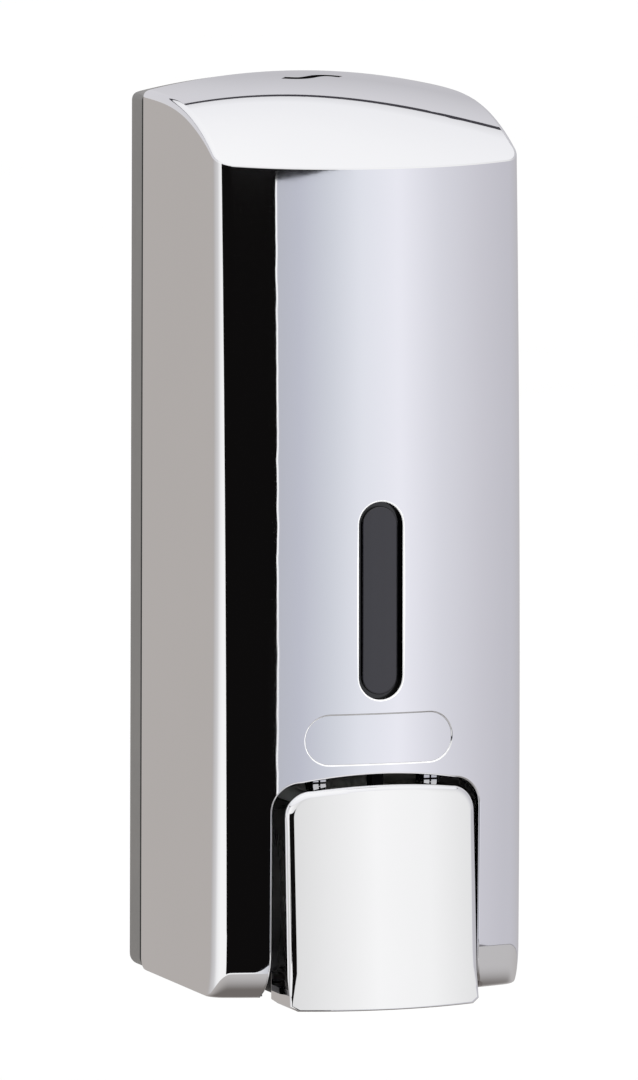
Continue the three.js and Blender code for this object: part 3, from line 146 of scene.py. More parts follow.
def smooth(mesh: Mesh, sharp: float | None = None) -> None:
    """Shades a mesh smooth.

    Args:
        mesh: The mesh.
        sharp: Angle in degrees past which edges stay sharp, or None where all are smooth.
    """
    mesh.polygons.foreach_set("use_smooth", [True] * len(mesh.polygons))
    if sharp is not None:
        mesh.set_sharp_from_angle(angle=math.radians(sharp))


def spot_of(polygon: bpy.types.MeshPolygon) -> Triple:
    """Middle of a face as x, depth and height in millimetres."""
    centre = polygon.center
    return centre.x / MILLIMETRE, -centre.y / MILLIMETRE, centre.z / MILLIMETRE + ORIGIN_HEIGHT


class Solids:
    """Builds closed meshes from rings, outlines and radii."""

    @staticmethod
    def from_rings(name: str, rings: Sequence[np.ndarray], caps: tuple[bool, bool] = (False, False)) -> Mesh:
        """Makes a closed body from rings that lie one above the other.

        Args:
            name: Name of the mesh.
            rings: Rings of points in the row frame, with the same number of places.
            caps: Whether a flat cap closes each end. Otherwise the end ring closes by itself.

        Returns:
            The mesh, its doubled points merged and its faces outwards.
        """
        count, around = len(rings), len(rings[0])
        faces: list[tuple[int, ...]] = []
        for ring in range(count - 1):
            low, high = ring * around, (ring + 1) * around
            for i in range(around):
                j = (i + 1) % around
                faces.append((low + i, low + j, high + j, high + i))
        for capped, first in zip(caps, (0, (count - 1) * around)):
            if capped:
                faces.append(tuple(range(first, first + around)))
        mesh = bpy.data.meshes.new(name)
        mesh.from_pydata(np.concatenate(rings).tolist(), [], faces)
        work = bmesh.new()
        work.from_mesh(mesh)
        bmesh.ops.remove_doubles(work, verts=work.verts, dist=MERGE)
        bmesh.ops.recalc_face_normals(work, faces=work.faces)
        if work.calc_volume(signed=True) < 0:
            bmesh.ops.reverse_faces(work, faces=work.faces)
        work.to_mesh(mesh)
        work.free()
        smooth(mesh)
        return mesh

    @staticmethod
    def placed(axis: Axis, flat: np.ndarray, along: float) -> np.ndarray:
        """Stands a flat outline across an axis.

        Args:
            axis: The axis.
            flat: Rows of (depth, height) for ACROSS, (x, height) for FORWARD or (x, depth) for UP.
            along: Place on the axis.

        Returns:
            The outline's points in the row frame.
        """
        first, second = flat[:, 0], flat[:, 1]
        if axis is Axis.ACROSS:
            return to_row(along, first, second)
        return to_row(first, along, second) if axis is Axis.FORWARD else to_row(first, second, along)

    @staticmethod
    def prism(name: str, outline: Sequence[Pair], axis: Axis, ends: Pair) -> Mesh:
        """Pushes a flat outline along an axis between two ends, as `placed` takes it."""
        flat = np.array(outline, float)
        return Solids.from_rings(name, [Solids.placed(axis, flat, along) for along in ends], (True, True))

    @staticmethod
    def block(name: str, x: Pair, depth: Pair, height: Pair) -> Mesh:
        """Makes a box between two places on each axis."""
        corners = [(x[0], height[0]), (x[1], height[0]), (x[1], height[1]), (x[0], height[1])]
        return Solids.prism(name, corners, Axis.FORWARD, depth)

    @staticmethod
    def rod(name: str, radius: float, axis: Axis, ends: Pair, centre: Pair, steps: int = 48) -> Mesh:
        """Makes a round rod.

        Args:
            name: Name of the mesh.
            radius: Its radius.
            axis: The way it runs.
            ends: Where it starts and ends on the axis.
            centre: Its middle in the plane across the axis, as `placed` takes it.
            steps: Faces round it.

        Returns:
            The mesh.
        """
        turns = np.linspace(0, 2 * math.pi, steps, endpoint=False)
        circle = np.stack([np.cos(turns), np.sin(turns)], axis=-1)
        profile = ((0.0, ends[0]), (radius, ends[0]), (radius, ends[1]), (0.0, ends[1]))
        rings = [Solids.placed(axis, np.array(centre) + circle * reach, along) for reach, along in profile]
        return Solids.from_rings(name, rings)


def arc(centre: Pair, radius: float, start: float, end: float, steps: int = 16) -> Profile:
    """Points on an arc round a centre, from one number of quarter turns to another."""
    turns = [QUARTER * (start + (end - start) * i / steps) for i in range(steps + 1)]
    return [(centre[0] + radius * math.cos(t), centre[1] + radius * math.sin(t)) for t in turns]


def softened(points: Sequence[Pair], radius: float, steps: int, most: float = 0.45) -> Profile:
    """Rounds the inner corners of a line.

    Args:
        points: Its corners.
        radius: How far from a corner its round starts.
        steps: Stretches in each round.
        most: Largest share of an edge that a round takes.

    Returns:
        The rounded line.
    """
    made: Profile = [points[0]]
    corners = [np.array(point, float) for point in points]
    for before, here, after in zip(corners, corners[1:], corners[2:]):
        ends = []
        for other in (before, after):
            run = np.linalg.norm(other - here)
            ends.append(here + (other - here) / run * min(radius, run * most))
        for t in np.linspace(0, 1, steps + 1):
            spot = ends[0] * (1 - t) ** 2 + here * 2 * t * (1 - t) + ends[1] * t**2
            made.append((float(spot[0]), float(spot[1])))
    return [*made, points[-1]]


def stadium(half_width: float, low: float, high: float, steps: int = 16, runs: int = 10) -> np.ndarray:
    """Outline with round ends, whose upper and lower halves share their x places.

    Args:
        half_width: Half the width.
        low: Lowest place.
        high: Highest place.
        steps: Points in each quarter round.
        runs: Points along each straight stretch.

    Returns:
        The outline, the upper half from right to left and then the lower half back.
    """
    half_height = (high - low) / 2
    middle = (low + high) / 2
    round_ = min(half_width, half_height)
    run_x, run_z = half_width - round_, half_height - round_
    upper = arc((run_x, run_z), round_, 0, 1, steps)
    upper += [(run_x * (1 - 2 * i / runs), half_height) for i in range(1, runs)]
    upper = np.array(upper + arc((-run_x, run_z), round_, 1, 2, steps))
    return np.concatenate([upper, upper[::-1] * (1.0, -1.0)]) + (0.0, middle)


def linked(name: str, data: bpy.types.ID) -> bpy.types.Object:
    """Makes an object of some data and puts it in the scene.

    Args:
        name: Name of the object.
        data: Its mesh, camera or lamp.

    Returns:
        The object.
    """
    obj = bpy.data.objects.new(name, data)
    bpy.context.scene.collection.objects.link(obj)
    return obj


def discard(obj: bpy.types.Object) -> None:
    """Removes a working object and its mesh.

    Args:
        obj: The object.
    """
    mesh = obj.data
    bpy.data.objects.remove(obj)
    bpy.data.meshes.remove(mesh)


def baked(obj: bpy.types.Object, name: str) -> Mesh:
    """Bakes a working object's modifiers into a new mesh and removes the object.

    Args:
        obj: The object.
        name: Name of the new mesh.

    Returns:
        The new mesh.
    """
    graph = bpy.context.evaluated_depsgraph_get()
    mesh = bpy.data.meshes.new_from_object(obj.evaluated_get(graph))
    discard(obj)
    mesh.name = name
    return mesh


def carved(mesh: Mesh, joins: Sequence[Mesh] = (), cuts: Sequence[Mesh] = ()) -> Mesh:
    """Joins bodies to a closed mesh and then cuts others out of it.

    Args:
        mesh: The closed body.
        joins: Closed bodies that are added.
        cuts: Closed bodies that are taken away.

    Returns:
        The new mesh. The meshes given are removed.
    """
    work = linked(mesh.name, mesh)
    tools = []
    for operation, group in (("UNION", joins), ("DIFFERENCE", cuts)):
        for other in group:
            tools.append(linked(other.name, other))
            step = work.modifiers.new(operation.lower(), "BOOLEAN")
            step.operation = operation
            step.solver = "MANIFOLD"
            step.object = tools[-1]
    made = baked(work, mesh.name)
    for tool in tools:
        discard(tool)
    return made


class Skin:
    """The smooth outer form of a piece, whose normals its cut mesh takes over.

    A plated face mirrors its surroundings cleanly only where its normals don't follow the small
    triangles that a cut leaves behind.
    """

    SAME_WAY: ClassVar[float] = 0.97
    SLIVER: ClassVar[float] = MILLIMETRE**2 / 400
    FLAT: ClassVar[float] = 1e-24

    def __init__(self, form: Mesh) -> None:
        """Keeps a copy of the uncut form.

        Args:
            form: The closed outer form, before any cut.
        """
        form.calc_loop_triangles()
        self._points = np.array([v.co for v in form.vertices])
        self._normals = np.array([v.normal for v in form.vertices])
        self._triangles = [tuple(t.vertices) for t in form.loop_triangles]
        self._tree = BVHTree.FromPolygons(self._points.tolist(), self._triangles)

    def _normal_at(self, point: Vector) -> Vector | None:
        """Smooth normal of the form nearest to a point.

        Args:
            point: The point, in metres.

        Returns:
            The normal, or None where no form is near.
        """
        spot, _, index, _ = self._tree.find_nearest(point)
        if spot is None:
            return None
        a, b, c = (self._points[k] for k in self._triangles[index])
        na, nb, nc = (self._normals[k] for k in self._triangles[index])
        ab, ac, ap = b - a, c - a, np.array(spot) - a
        d00, d01, d11, d20, d21 = ab @ ab, ab @ ac, ac @ ac, ap @ ab, ap @ ac
        scale = d00 * d11 - d01 * d01
        if abs(scale) < self.FLAT:
            return Vector(na)
        v = (d11 * d20 - d01 * d21) / scale
        w = (d00 * d21 - d01 * d20) / scale
        return Vector((1 - v - w) * na + v * nb + w * nc).normalized()

    def dress(self, mesh: Mesh, sharp: float = 30.0, reach: float = 0.02, lean: float = 0.0) -> set[int]:
        """Gives a cut mesh the form's normals where it still follows the form.

        Args:
            mesh: The mesh after its cuts.
            sharp: Angle in degrees past which other edges stay sharp.
            reach: How far a face may lie from the form, in millimetres.
            lean: Degrees by which the taken normals lean upwards.

        Returns:
            The numbers of the faces that follow the form.
        """
        raise_by = math.tan(math.radians(lean))
        following: set[int] = set()
        smooth(mesh, sharp)
        zero = Vector((0.0, 0.0, 0.0))
        normals = [zero] * len(mesh.loops)
        known: dict[int, Vector | None] = {}
        for polygon in mesh.polygons:
            spot, normal, _, gap = self._tree.find_nearest(polygon.center)
            if spot is None or gap > reach * MILLIMETRE:
                continue
            if polygon.area > self.SLIVER and normal.dot(polygon.normal) < self.SAME_WAY:
                continue
            following.add(polygon.index)
            for loop in polygon.loop_indices:
                vertex = mesh.loops[loop].vertex_index
                if vertex not in known:
                    found = self._normal_at(mesh.vertices[vertex].co)
                    known[vertex] = None if found is None else (found + Vector((0, 0, raise_by))).normalized()
                normals[loop] = known[vertex] or zero
        mesh.normals_split_custom_set(normals)
        return following


# Finishes


@dataclass(frozen=True)
class Noise:
    """Noise on the piece's own coordinates: waves a metre, finer layers, stretch and the layers' weight."""

    scale: float
    detail: float = 2.0
    stretch: Triple = (1, 1, 1)
    roughness: float = 0.5


@dataclass(frozen=True)
class Relief:
    """Noise that bends the normal. Its full height stands for the distance, in metres."""

    noise: Noise
    distance: float
    strength: float = 1.0


class Nodes:
    """Short calls for building a node tree."""

    def __init__(self, tree: bpy.types.NodeTree) -> None:
        """Starts on a tree."""
        self.tree = tree

    @classmethod
    def of(cls, owner: bpy.types.ID) -> Nodes:
        """Empties the tree of a material or world and starts on it.

        Args:
            owner: The material or world.

        Returns:
            The short calls on its tree.
        """
        owner.use_nodes = True
        owner.node_tree.nodes.clear()
        return cls(owner.node_tree)

    def add(
        self, kind: str, inputs: dict[str | int, object] | None = None, **settings: object
    ) -> bpy.types.Node:
        """Adds a node.

        Args:
            kind: Its type.
            inputs: A socket or value for the name or number of each input.
            settings: Its properties.

        Returns:
            The node.
        """
        node = self.tree.nodes.new(kind)
        for name, value in settings.items():
            setattr(node, name, value)
        for key, value in (inputs or {}).items():
            if isinstance(value, Socket):
                self.tree.links.new(value, node.inputs[key])
            else:
                node.inputs[key].default_value = value
        return node

    def math(self, operation: str, *values: object) -> Socket:
        """Adds a sum of one or more values and returns its result."""
        return self.add("ShaderNodeMath", dict(enumerate(values)), operation=operation).outputs[0]

    def product(self, first: object, *more: object) -> Socket:
        """Multiplies values, which also joins masks of 0 and 1.

        Args:
            first: The first value.
            more: The others.

        Returns:
            The product.
        """
        for other in more:
            first = self.math("MULTIPLY", first, other)
        return first

    def span(self, value: object, source: Pair, target: Pair, eased: bool = False) -> Socket:
        """Maps a value from one span to another, held at both ends.

        Args:
            value: The value.
            source: Its lowest and highest place.
            target: What these become.
            eased: Whether the way between them starts and ends softly.

        Returns:
            The mapped value.
        """
        inputs = dict(enumerate((value, *source, *target)))
        kind = "SMOOTHSTEP" if eased else "LINEAR"
        return self.add("ShaderNodeMapRange", inputs, interpolation_type=kind).outputs[0]

    def mix(self, share: object, first: object, second: object) -> Socket:
        """Mixes two colours by a share of the second."""
        return self.add("ShaderNodeMix", {0: share, 6: first, 7: second}, data_type="RGBA").outputs[2]

    def tones(self, share: object, colour: Rgb, darker: int, lighter: int) -> Socket:
        """Mixes a darker and a lighter tone of a screen colour.

        Args:
            share: Share of the lighter tone.
            colour: The screen colour.
            darker: How much darker the first tone is.
            lighter: How much lighter the second is.

        Returns:
            The mixed colour.
        """
        ends = [linear(*(min(max(value + by, 0), 255) for value in colour)) for by in (-darker, lighter)]
        return self.mix(share, *ends)

    def ramp(self, value: object, stops: Stops, low: float, high: float) -> Socket:
        """Colours a value by a row of stops.

        Args:
            value: The value.
            stops: Rows of (place, screen colour).
            low: Lowest place.
            high: Highest place.

        Returns:
            The colour.
        """
        node = self.add("ShaderNodeValToRGB", {0: self.span(value, (low, high), (0, 1))})
        elements = node.color_ramp.elements
        while len(elements) < len(stops):
            elements.new(0.5)
        for element, (place, colour) in zip(elements, stops):
            element.position = (place - low) / (high - low)
            element.color = linear(*colour)
        return node.outputs[0]

    def noise(self, noise: Noise) -> Socket:
        """Adds noise.

        Args:
            noise: What it looks like.

        Returns:
            Its value, 0 to 1.
        """
        place = self.add("ShaderNodeTexCoord").outputs["Object"]
        turn = self.add("ShaderNodeMapping", {"Scale": noise.stretch, "Vector": place}).outputs[0]
        inputs = {"Vector": turn, "Scale": noise.scale, "Detail": noise.detail, "Roughness": noise.roughness}
        return self.add("ShaderNodeTexNoise", inputs).outputs[0]

    def bump(self, relief: Relief, under: Socket | None) -> Socket:
        """Turns a relief into a normal.

        Args:
            relief: The relief.
            under: A normal that it is added to.

        Returns:
            The normal.
        """
        height = self.noise(relief.noise)
        inputs = {"Strength": relief.strength, "Distance": relief.distance, "Height": height}
        if under is not None:
            inputs["Normal"] = under
        return self.add("ShaderNodeBump", inputs).outputs[0]


@dataclass(frozen=True)
class Finish:
    """A material with clouded colour, patches in its gloss and fine relief."""

    name: str
    slot: Slot
    colour: Rgb
    darker: int
    clouds: Noise
    gloss: Pair
    patches: Noise
    reliefs: tuple[Relief, ...]
    lighter: int = 0
    cloud_span: Pair | None = None
    patch_span: Pair = (0.3, 0.7)
    more: tuple[tuple[str, float], ...] = ()

    def material(self) -> bpy.types.Material:
        """Makes the material at its first use.

        Returns:
            The material.
        """
        found = bpy.data.materials.get(self.name)
        if found is None:
            found = bpy.data.materials.new(self.name)
            nodes = Nodes.of(found)
            share = nodes.noise(self.clouds)
            if self.cloud_span is not None:
                share = nodes.span(share, self.cloud_span, (0, 1))
            normal = None
            for relief in self.reliefs:
                normal = nodes.bump(relief, normal)
            shader = nodes.add("ShaderNodeBsdfPrincipled", {
                "Base Color": nodes.tones(share, self.colour, self.darker, self.lighter),
                "Roughness": nodes.span(nodes.noise(self.patches), self.patch_span, self.gloss),
                "Normal": normal, **dict(self.more),
            })
            nodes.add("ShaderNodeOutputMaterial", {0: shader.outputs[0]})
        return found


# Plated plastic: a mirror with faint haze, and orange peel over the waviness of the moulding.
PLATING = Finish(
    "bright plating", Slot.PLATED, (250, 250, 251), darker=5, clouds=Noise(14, 3),
    gloss=(0.012, 0.03), patches=Noise(38, 4, (1, 1, 0.35), 0.6), patch_span=(0.35, 0.75),
    reliefs=(Relief(Noise(18, 1), 6e-6), Relief(Noise(420), 2e-7)), more=(("Metallic", 1.0),),
)
INSIDE = replace(PLATING, name="thin plating inside", colour=(176, 176, 179), gloss=(0.204, 0.51))
# Partly painted shade: hazier plating for the lever's lug fronts, whose darker colour stands for the shade in
# the gap above the lever.
DULLED_SHADED = replace(PLATING, name="dulled plating with painted shade", colour=(200, 200, 203), gloss=(0.072, 0.18))
# Painted shade: near-black plating on the walls of openings, slots and recesses, for the shadow that falls in
# them.
RECESS_SHADE = replace(PLATING, name="painted shade in recesses", colour=(12, 12, 13), gloss=(0.156, 0.39))


# Moulded plastic: flow marks, rubbed patches, and spark-eroded grain over a soft swell.
SWELL = Relief(Noise(60, 1), 1e-5)
GREY = Finish(
    "grey moulded plastic", Slot.GREY, (122, 120, 118), darker=5, lighter=4, clouds=Noise(30, 4, (1, 1, 0.4)),
    gloss=(0.3825, 0.5175), patches=Noise(55, 3), reliefs=(SWELL, Relief(Noise(1600), 2e-5, 0.6)),
)
# Painted shade: near black on the back plate's front rounding, for the shadow in the seam between the plate and
# the cover.
SEAM_SHADE = replace(GREY, name="shaded plastic in the seam", colour=(20, 19, 18))
# Painted highlight: a near-white matt finish on plated rims, for the light that their rounded edges catch.
PAINTED_RIM_HIGHLIGHT = replace(
    GREY, name="light on a plated rim", slot=Slot.PLATED, colour=(251, 251, 253), gloss=(0.255, 0.345),
    reliefs=(SWELL, Relief(Noise(1600), 2e-6, 0.6)),
)
WHITE = replace(
    GREY, name="white moulded plastic", slot=Slot.WHITE, colour=(236, 235, 230), gloss=(0.323, 0.437),
    reliefs=(SWELL, Relief(Noise(1900), 1.2e-5, 0.6)),
)
BLACK = replace(
    GREY, name="black moulded plastic", slot=Slot.BLACK, colour=(36, 36, 38), gloss=(0.357, 0.483),
    reliefs=(SWELL, Relief(Noise(1700), 1.8e-5, 0.6)),
)


# Dark clear plastic, polished, with upright streaks and a little dust in its gloss.
SMOKED = Finish(
    "smoked clear plastic", Slot.SMOKED, (34, 33, 39), darker=12, clouds=Noise(240, 2, (1, 1, 0.02)),
    gloss=(0.06, 0.16), patches=Noise(300, 4), patch_span=(0.4, 0.8), reliefs=(Relief(Noise(80), 8e-6),),
    more=(("IOR", 1.49), ("Coat Weight", 0.4), ("Coat Roughness", 0.04)),
)
# Painted shade: near black on the lens's sunk rim, for the shadow in the window's edge.
LENS_RIM_SHADE = replace(SMOKED, name="shaded rim of the lens", colour=(12, 12, 14))


# Milky see-through plastic of a blown tank.
CLEAR = Finish(
    "milky tank plastic", Slot.CLEAR, (243, 245, 244), darker=8, clouds=Noise(35, 3), gloss=(0.3, 0.42),
    patches=Noise(35, 3), reliefs=(Relief(Noise(90, 1), 8e-6),),
    more=(("Transmission Weight", 0.45), ("IOR", 1.45)),
)


# Dull rubber with pale bloom on it.
RUBBER = Finish(
    "black rubber", Slot.RUBBER, (44, 44, 45), darker=0, lighter=14, clouds=Noise(110, 4),
    cloud_span=(0.45, 0.8), gloss=(0.66, 0.86), patches=Noise(110, 4),
    reliefs=(Relief(Noise(1500, 3), 2e-5, 0.8),),
)


# Drawn and turned steel with fine marks along the work.
MARKS = Noise(1800, 2, (0.1, 1, 1))
STEEL = Finish(
    "drawn steel", Slot.STEEL, (196, 197, 200), darker=22, clouds=Noise(90, 3), gloss=(0.16, 0.32),
    patches=MARKS, reliefs=(Relief(MARKS, 8e-6, 0.5),), more=(("Metallic", 1.0),),
)


def piece(
    mesh: Mesh, name: str, body: str, finish: Finish, replaced: Sequence[str], *more: Finish
) -> bpy.types.Object:
    """Puts a finished mesh in the scene on its body.

    Args:
        mesh: The mesh in the row frame.
        name: Name of the piece.
        body: The CAD body that carries it.
        finish: Its finish.
        replaced: The CAD nodes that it stands for.
        more: Finishes of the mesh's further material places.

    Returns:
        The object.
    """
    mesh.name = name
    obj = linked(name, mesh)
    places = [polygon.material_index for polygon in mesh.polygons]
    mesh.materials.clear()
    for each in (finish, *more):
        mesh.materials.append(each.material())
    mesh.polygons.foreach_set("material_index", places)
    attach(obj, body)
    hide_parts(*replaced)
    LOG.info("%s on %s: %d faces", name, body, len(mesh.polygons))
    return obj


# Housing form


@dataclass(frozen=True)
class Counts:
    """How finely the housing's outline is divided."""

    side: int = 28
    fillet: int = 14
    front: int = 72
    corner: int = 4
    rear: int = 36

    @property
    def total(self) -> int:
        """Points round the whole outline."""
        return 2 * self.side + 2 * self.fillet + self.front + 2 * self.corner + self.rear + 1


@dataclass(frozen=True)
class Housing:
    """The housing's outer form: a tapered box with a bulged front and a crowned, falling top."""

    half_width_bottom: float = 40.5
    half_width_top: float = 39.5
    taper_height: float = 221.0
    plate_depth: float = 9.1
    seam: float = 0.2
    wall: float = 2.2
    corner_depth: float = 69.5
    bulge: float = 7.9
    corner_radius: float = 5.7
    crease_height: float = 205.2
    rear_top_height: float = 221.4
    crown: float = 4.6
    corner_rise: float = 1.2
    rise_power: float = 2.5
    top_power: float = 1.25
    top_edge: float = 1.6
    crease_edge: float = 0.25
    bottom_edge: float = 0.8
    rear_edge: float = 0.35
    sag: float = 1.5
    sag_middle: float = 105.0
    roll_height: float = 11.0
    roll_depth: float = 4.2
    slope_share: float = 0.12
    slope_power: float = 3.1
    span_rings: int = 26
    rise_rings: int = 10
    roll_rings: int = 16
    edge_rings: int = 7
    top_rings: int = 30
    rise_start: float = 180.0
    bottom_shares: ClassVar[Shares] = (0.0, 0.4, 0.75)
    rise_shares: ClassVar[Shares] = (0.985, 0.997, 1.0)
    top_shares: ClassVar[Shares] = (0.998, 0.99)

    @property
    def cover_rear(self) -> float:
        """Depth where the cover starts."""
        return self.plate_depth + self.seam

    @property
    def arc_radius(self) -> float:
        """Radius of the bulged front in plan."""
        return (self.half_width_bottom**2 + self.bulge**2) / (2 * self.bulge)

    def half_width(self, height: np.ndarray) -> np.ndarray:
        """Half the housing's width at a height."""
        share = np.clip(np.asarray(height, float) / self.taper_height, 0, 1)
        return self.half_width_bottom + (self.half_width_top - self.half_width_bottom) * share

    def arc_centre(self, height: np.ndarray) -> np.ndarray:
        """Depth of the front arc's centre at a height."""
        share = (np.asarray(height, float) - self.sag_middle) / (self.crease_height - self.sag_middle)
        return self.corner_depth + self.bulge - self.sag * share**2 - self.arc_radius

    def roll(self, height: np.ndarray) -> np.ndarray:
        """How far the front is drawn back near the bottom edge."""
        share = np.clip(np.asarray(height, float) / self.roll_height, 0, 1)
        return self.roll_depth * (1 - np.sqrt(np.maximum(1 - (1 - share) ** 2, 0)))

    def front_depth(self, x: np.ndarray, height: np.ndarray, inset: float = 0.0) -> np.ndarray:
        """Depth of the front face, without the roll at its foot."""
        return self.arc_centre(height) + np.sqrt((self.arc_radius - inset) ** 2 - np.asarray(x, float) ** 2)

    def skin_depth(self, x: np.ndarray, height: np.ndarray) -> np.ndarray:
        """Depth of the front face with the roll at its foot."""
        return self.front_depth(x, height) - self.roll(height)

    def top_height(self, x: np.ndarray, depth: np.ndarray) -> np.ndarray:
        """Height of the top face over plan points.

        Args:
            x: Places to the right of the middle.
            depth: Distances out from the wall.

        Returns:
            The heights.
        """
        front = self.front_depth(x, self.crease_height)
        share = np.clip((depth - self.cover_rear) / (front - self.cover_rear), 0, 1)
        across = np.minimum(np.abs(x) / self.half_width_top, 1)
        fall = self.rear_top_height - self.crease_height - self.corner_rise * across**self.rise_power
        fallen = fall * (self.slope_share * share + (1 - self.slope_share) * share**self.slope_power)
        return self.rear_top_height - fallen + self.crown * (1 - across**2) * (1 - share**2)

    def outline(
        self, height: np.ndarray, inset: float, rear: float, shift: float, counts: Counts
    ) -> np.ndarray:
        """Plan outline of the housing.

        Args:
            height: One height, or one for each point.
            inset: How far the outline is moved inwards.
            rear: Depth of its straight rear.
            shift: How far its front is drawn back.
            counts: How finely it is divided.

        Returns:
            The outline as rows of (x, depth), from the rear left round the front.
        """
        level = np.broadcast_to(np.asarray(height, float), (counts.total,))
        side = self.half_width(level) - inset
        radius = self.arc_radius - inset
        round_ = max(self.corner_radius - inset, self.top_edge)
        centre = self.arc_centre(level) - shift
        round_x = side - round_
        round_depth = centre + np.sqrt((radius - round_) ** 2 - round_x**2)
        lean = np.arcsin(round_x / (radius - round_))
        edge = self.rear_edge
        foot = rear + edge
        x, depth = np.zeros(counts.total), np.zeros(counts.total)
        at = 0

        def fill(count: int, first: int, make: Stretch, parts: int | None = None) -> None:
            """Fills the next stretch of the outline.

            Args:
                count: Points in it.
                first: Step of its first point.
                make: Gives x and depth from the points' places in the outline and shares of the stretch.
                parts: Steps of the whole stretch, or None where they are as many as its points.
            """
            nonlocal at
            part = slice(at, at + count)
            x[part], depth[part] = make(part, (np.arange(count) + first) / (parts or count))
            at += count

        fill(counts.side, 0, lambda s, t: (-side[s], foot + (round_depth[s] - foot) * t))
        fill(counts.fillet, 0, lambda s, t: (
            -round_x[s] + round_ * np.sin(-QUARTER + (QUARTER - lean[s]) * t),
            round_depth[s] + round_ * np.cos(-QUARTER + (QUARTER - lean[s]) * t),
        ))
        fill(counts.front + 1, 0, lambda s, t: (
            radius * np.sin(lean[s] * (2 * t - 1)),
            centre[s] + radius * np.cos(lean[s] * (2 * t - 1)),
        ), counts.front)
        fill(counts.fillet, 1, lambda s, t: (
            round_x[s] + round_ * np.sin(lean[s] + (QUARTER - lean[s]) * t),
            round_depth[s] + round_ * np.cos(lean[s] + (QUARTER - lean[s]) * t),
        ))
        fill(counts.side, 1, lambda s, t: (side[s], round_depth[s] + (foot - round_depth[s]) * t))
        fill(counts.corner, 1, lambda s, t: (
            side[s] - edge * (1 - np.cos(QUARTER * t)), foot - edge * np.sin(QUARTER * t),
        ))
        fill(counts.rear, 1, lambda s, t: ((side[s] - edge) * (1 - 2 * t), rear))
        fill(counts.corner, 0, lambda s, t: (
            -side[s] + edge * (1 - np.sin(QUARTER * t)), foot - edge * np.cos(QUARTER * t),
        ))
        return np.stack([x, depth], axis=-1)

    def edge_share(self, counts: Counts) -> np.ndarray:
        """Share of the top edge's round at each place: full at the sides, nearly sharp over the front.

        Args:
            counts: How finely the outline is divided.

        Returns:
            The shares, in the outline's order.
        """
        sharp = self.crease_edge / self.top_edge
        rise = np.linspace(0, 1, counts.fillet + counts.side // 3)
        rise = sharp + (1 - sharp) * rise * rise * (3 - 2 * rise)
        share = np.ones(counts.total)
        first = counts.side + counts.fillet
        last = first + counts.front
        share[first:last + 1] = sharp
        share[first - len(rise):first] = rise[::-1]
        share[last + 1:last + 1 + len(rise)] = rise
        return share

    def form(self, name: str, inset: float, bottom: float, rear: float, counts: Counts) -> Mesh:
        """The housing's closed form, or the same form moved inwards.

        Args:
            name: Name of the mesh.
            inset: How far it is moved inwards.
            bottom: Height of its flat bottom.
            rear: Depth of its flat rear.
            counts: How finely it is divided.

        Returns:
            The mesh.
        """
        rings: list[np.ndarray] = []
        middle = np.array([0.0, (rear + self.corner_depth) / 2])
        flat = self.outline(bottom, inset + self.bottom_edge, rear, self.roll_depth, counts)

        def add(plan: np.ndarray, height: float | np.ndarray) -> None:
            """Adds a ring at a height, or at one for each point."""
            rings.append(to_row(plan[:, 0], plan[:, 1], height))

        for share in self.bottom_shares:
            add(middle + (flat - middle) * share, bottom)
        for i in range(self.roll_rings + 1):
            turn = QUARTER * i / self.roll_rings
            height = bottom + self.roll_height * (1 - math.cos(turn))
            near = max(1 - (height - bottom) / self.bottom_edge, 0.0)
            drawn = inset + self.bottom_edge * (1 - math.sqrt(1 - near**2))
            add(self.outline(height, drawn, rear, self.roll_depth * (1 - math.sin(turn)), counts), height)
        start = bottom + self.roll_height
        for i in range(1, self.span_rings + 1):
            height = start + (self.rise_start - start) * i / self.span_rings
            add(self.outline(height, inset, rear, 0.0, counts), height)

        edge = self.outline(self.crease_height - inset, inset, rear, 0.0, counts)
        top = self.top_height(edge[:, 0], edge[:, 1]) - inset
        edge = self.outline(top, inset, rear, 0.0, counts)
        share_round = self.edge_share(counts)
        round_ = self.top_edge * share_round
        rising = [i / self.rise_rings for i in range(1, self.rise_rings)]
        for share in (*rising, *self.rise_shares):
            height = self.rise_start + (top - round_ - self.rise_start) * share
            add(self.outline(height, inset, rear, 0.0, counts), height)
        soft = self.outline(top, inset + self.top_edge, rear + self.rear_edge, 0.0, counts)
        soft = edge + (soft - edge) * share_round[:, None]
        soft_top = self.top_height(soft[:, 0], soft[:, 1]) - inset
        for i in range(1, self.edge_rings + 1):
            t = i / self.edge_rings
            weights = ((1 - t) ** 2, 2 * t * (1 - t), t**2)
            plan = edge * (weights[0] + weights[1]) + soft * weights[2]
            add(plan, (top - round_) * weights[0] + top * weights[1] + soft_top * weights[2])
        closing = [1 - (i / self.top_rings) ** self.top_power for i in range(1, self.top_rings + 1)]
        for share in (*self.top_shares, *closing):
            plan = middle + (soft - middle) * share
            add(plan, self.top_height(plan[:, 0], plan[:, 1]) - inset)
        return Solids.from_rings(name, rings)


HOUSING = Housing()


@dataclass(frozen=True)
class Lip:
    """A cut through a face whose rim is rounded where it meets the face."""

    radius: float = 0.5
    steps: int = 6
    last_turn: float = math.radians(72)
    past: float = 0.25

    def sections(self) -> Profile:
        """Divides the rim's round.

        Returns:
            Rows of (how far outwards, how far below the face), from inside to just past the face.
        """
        rows = arc((self.radius, self.radius), self.radius, 2, 2 + self.last_turn / QUARTER, self.steps)
        out, below = rows[-1]
        run = below + self.past
        rows.append((out + run * math.tan(self.last_turn), below - run))
        return rows


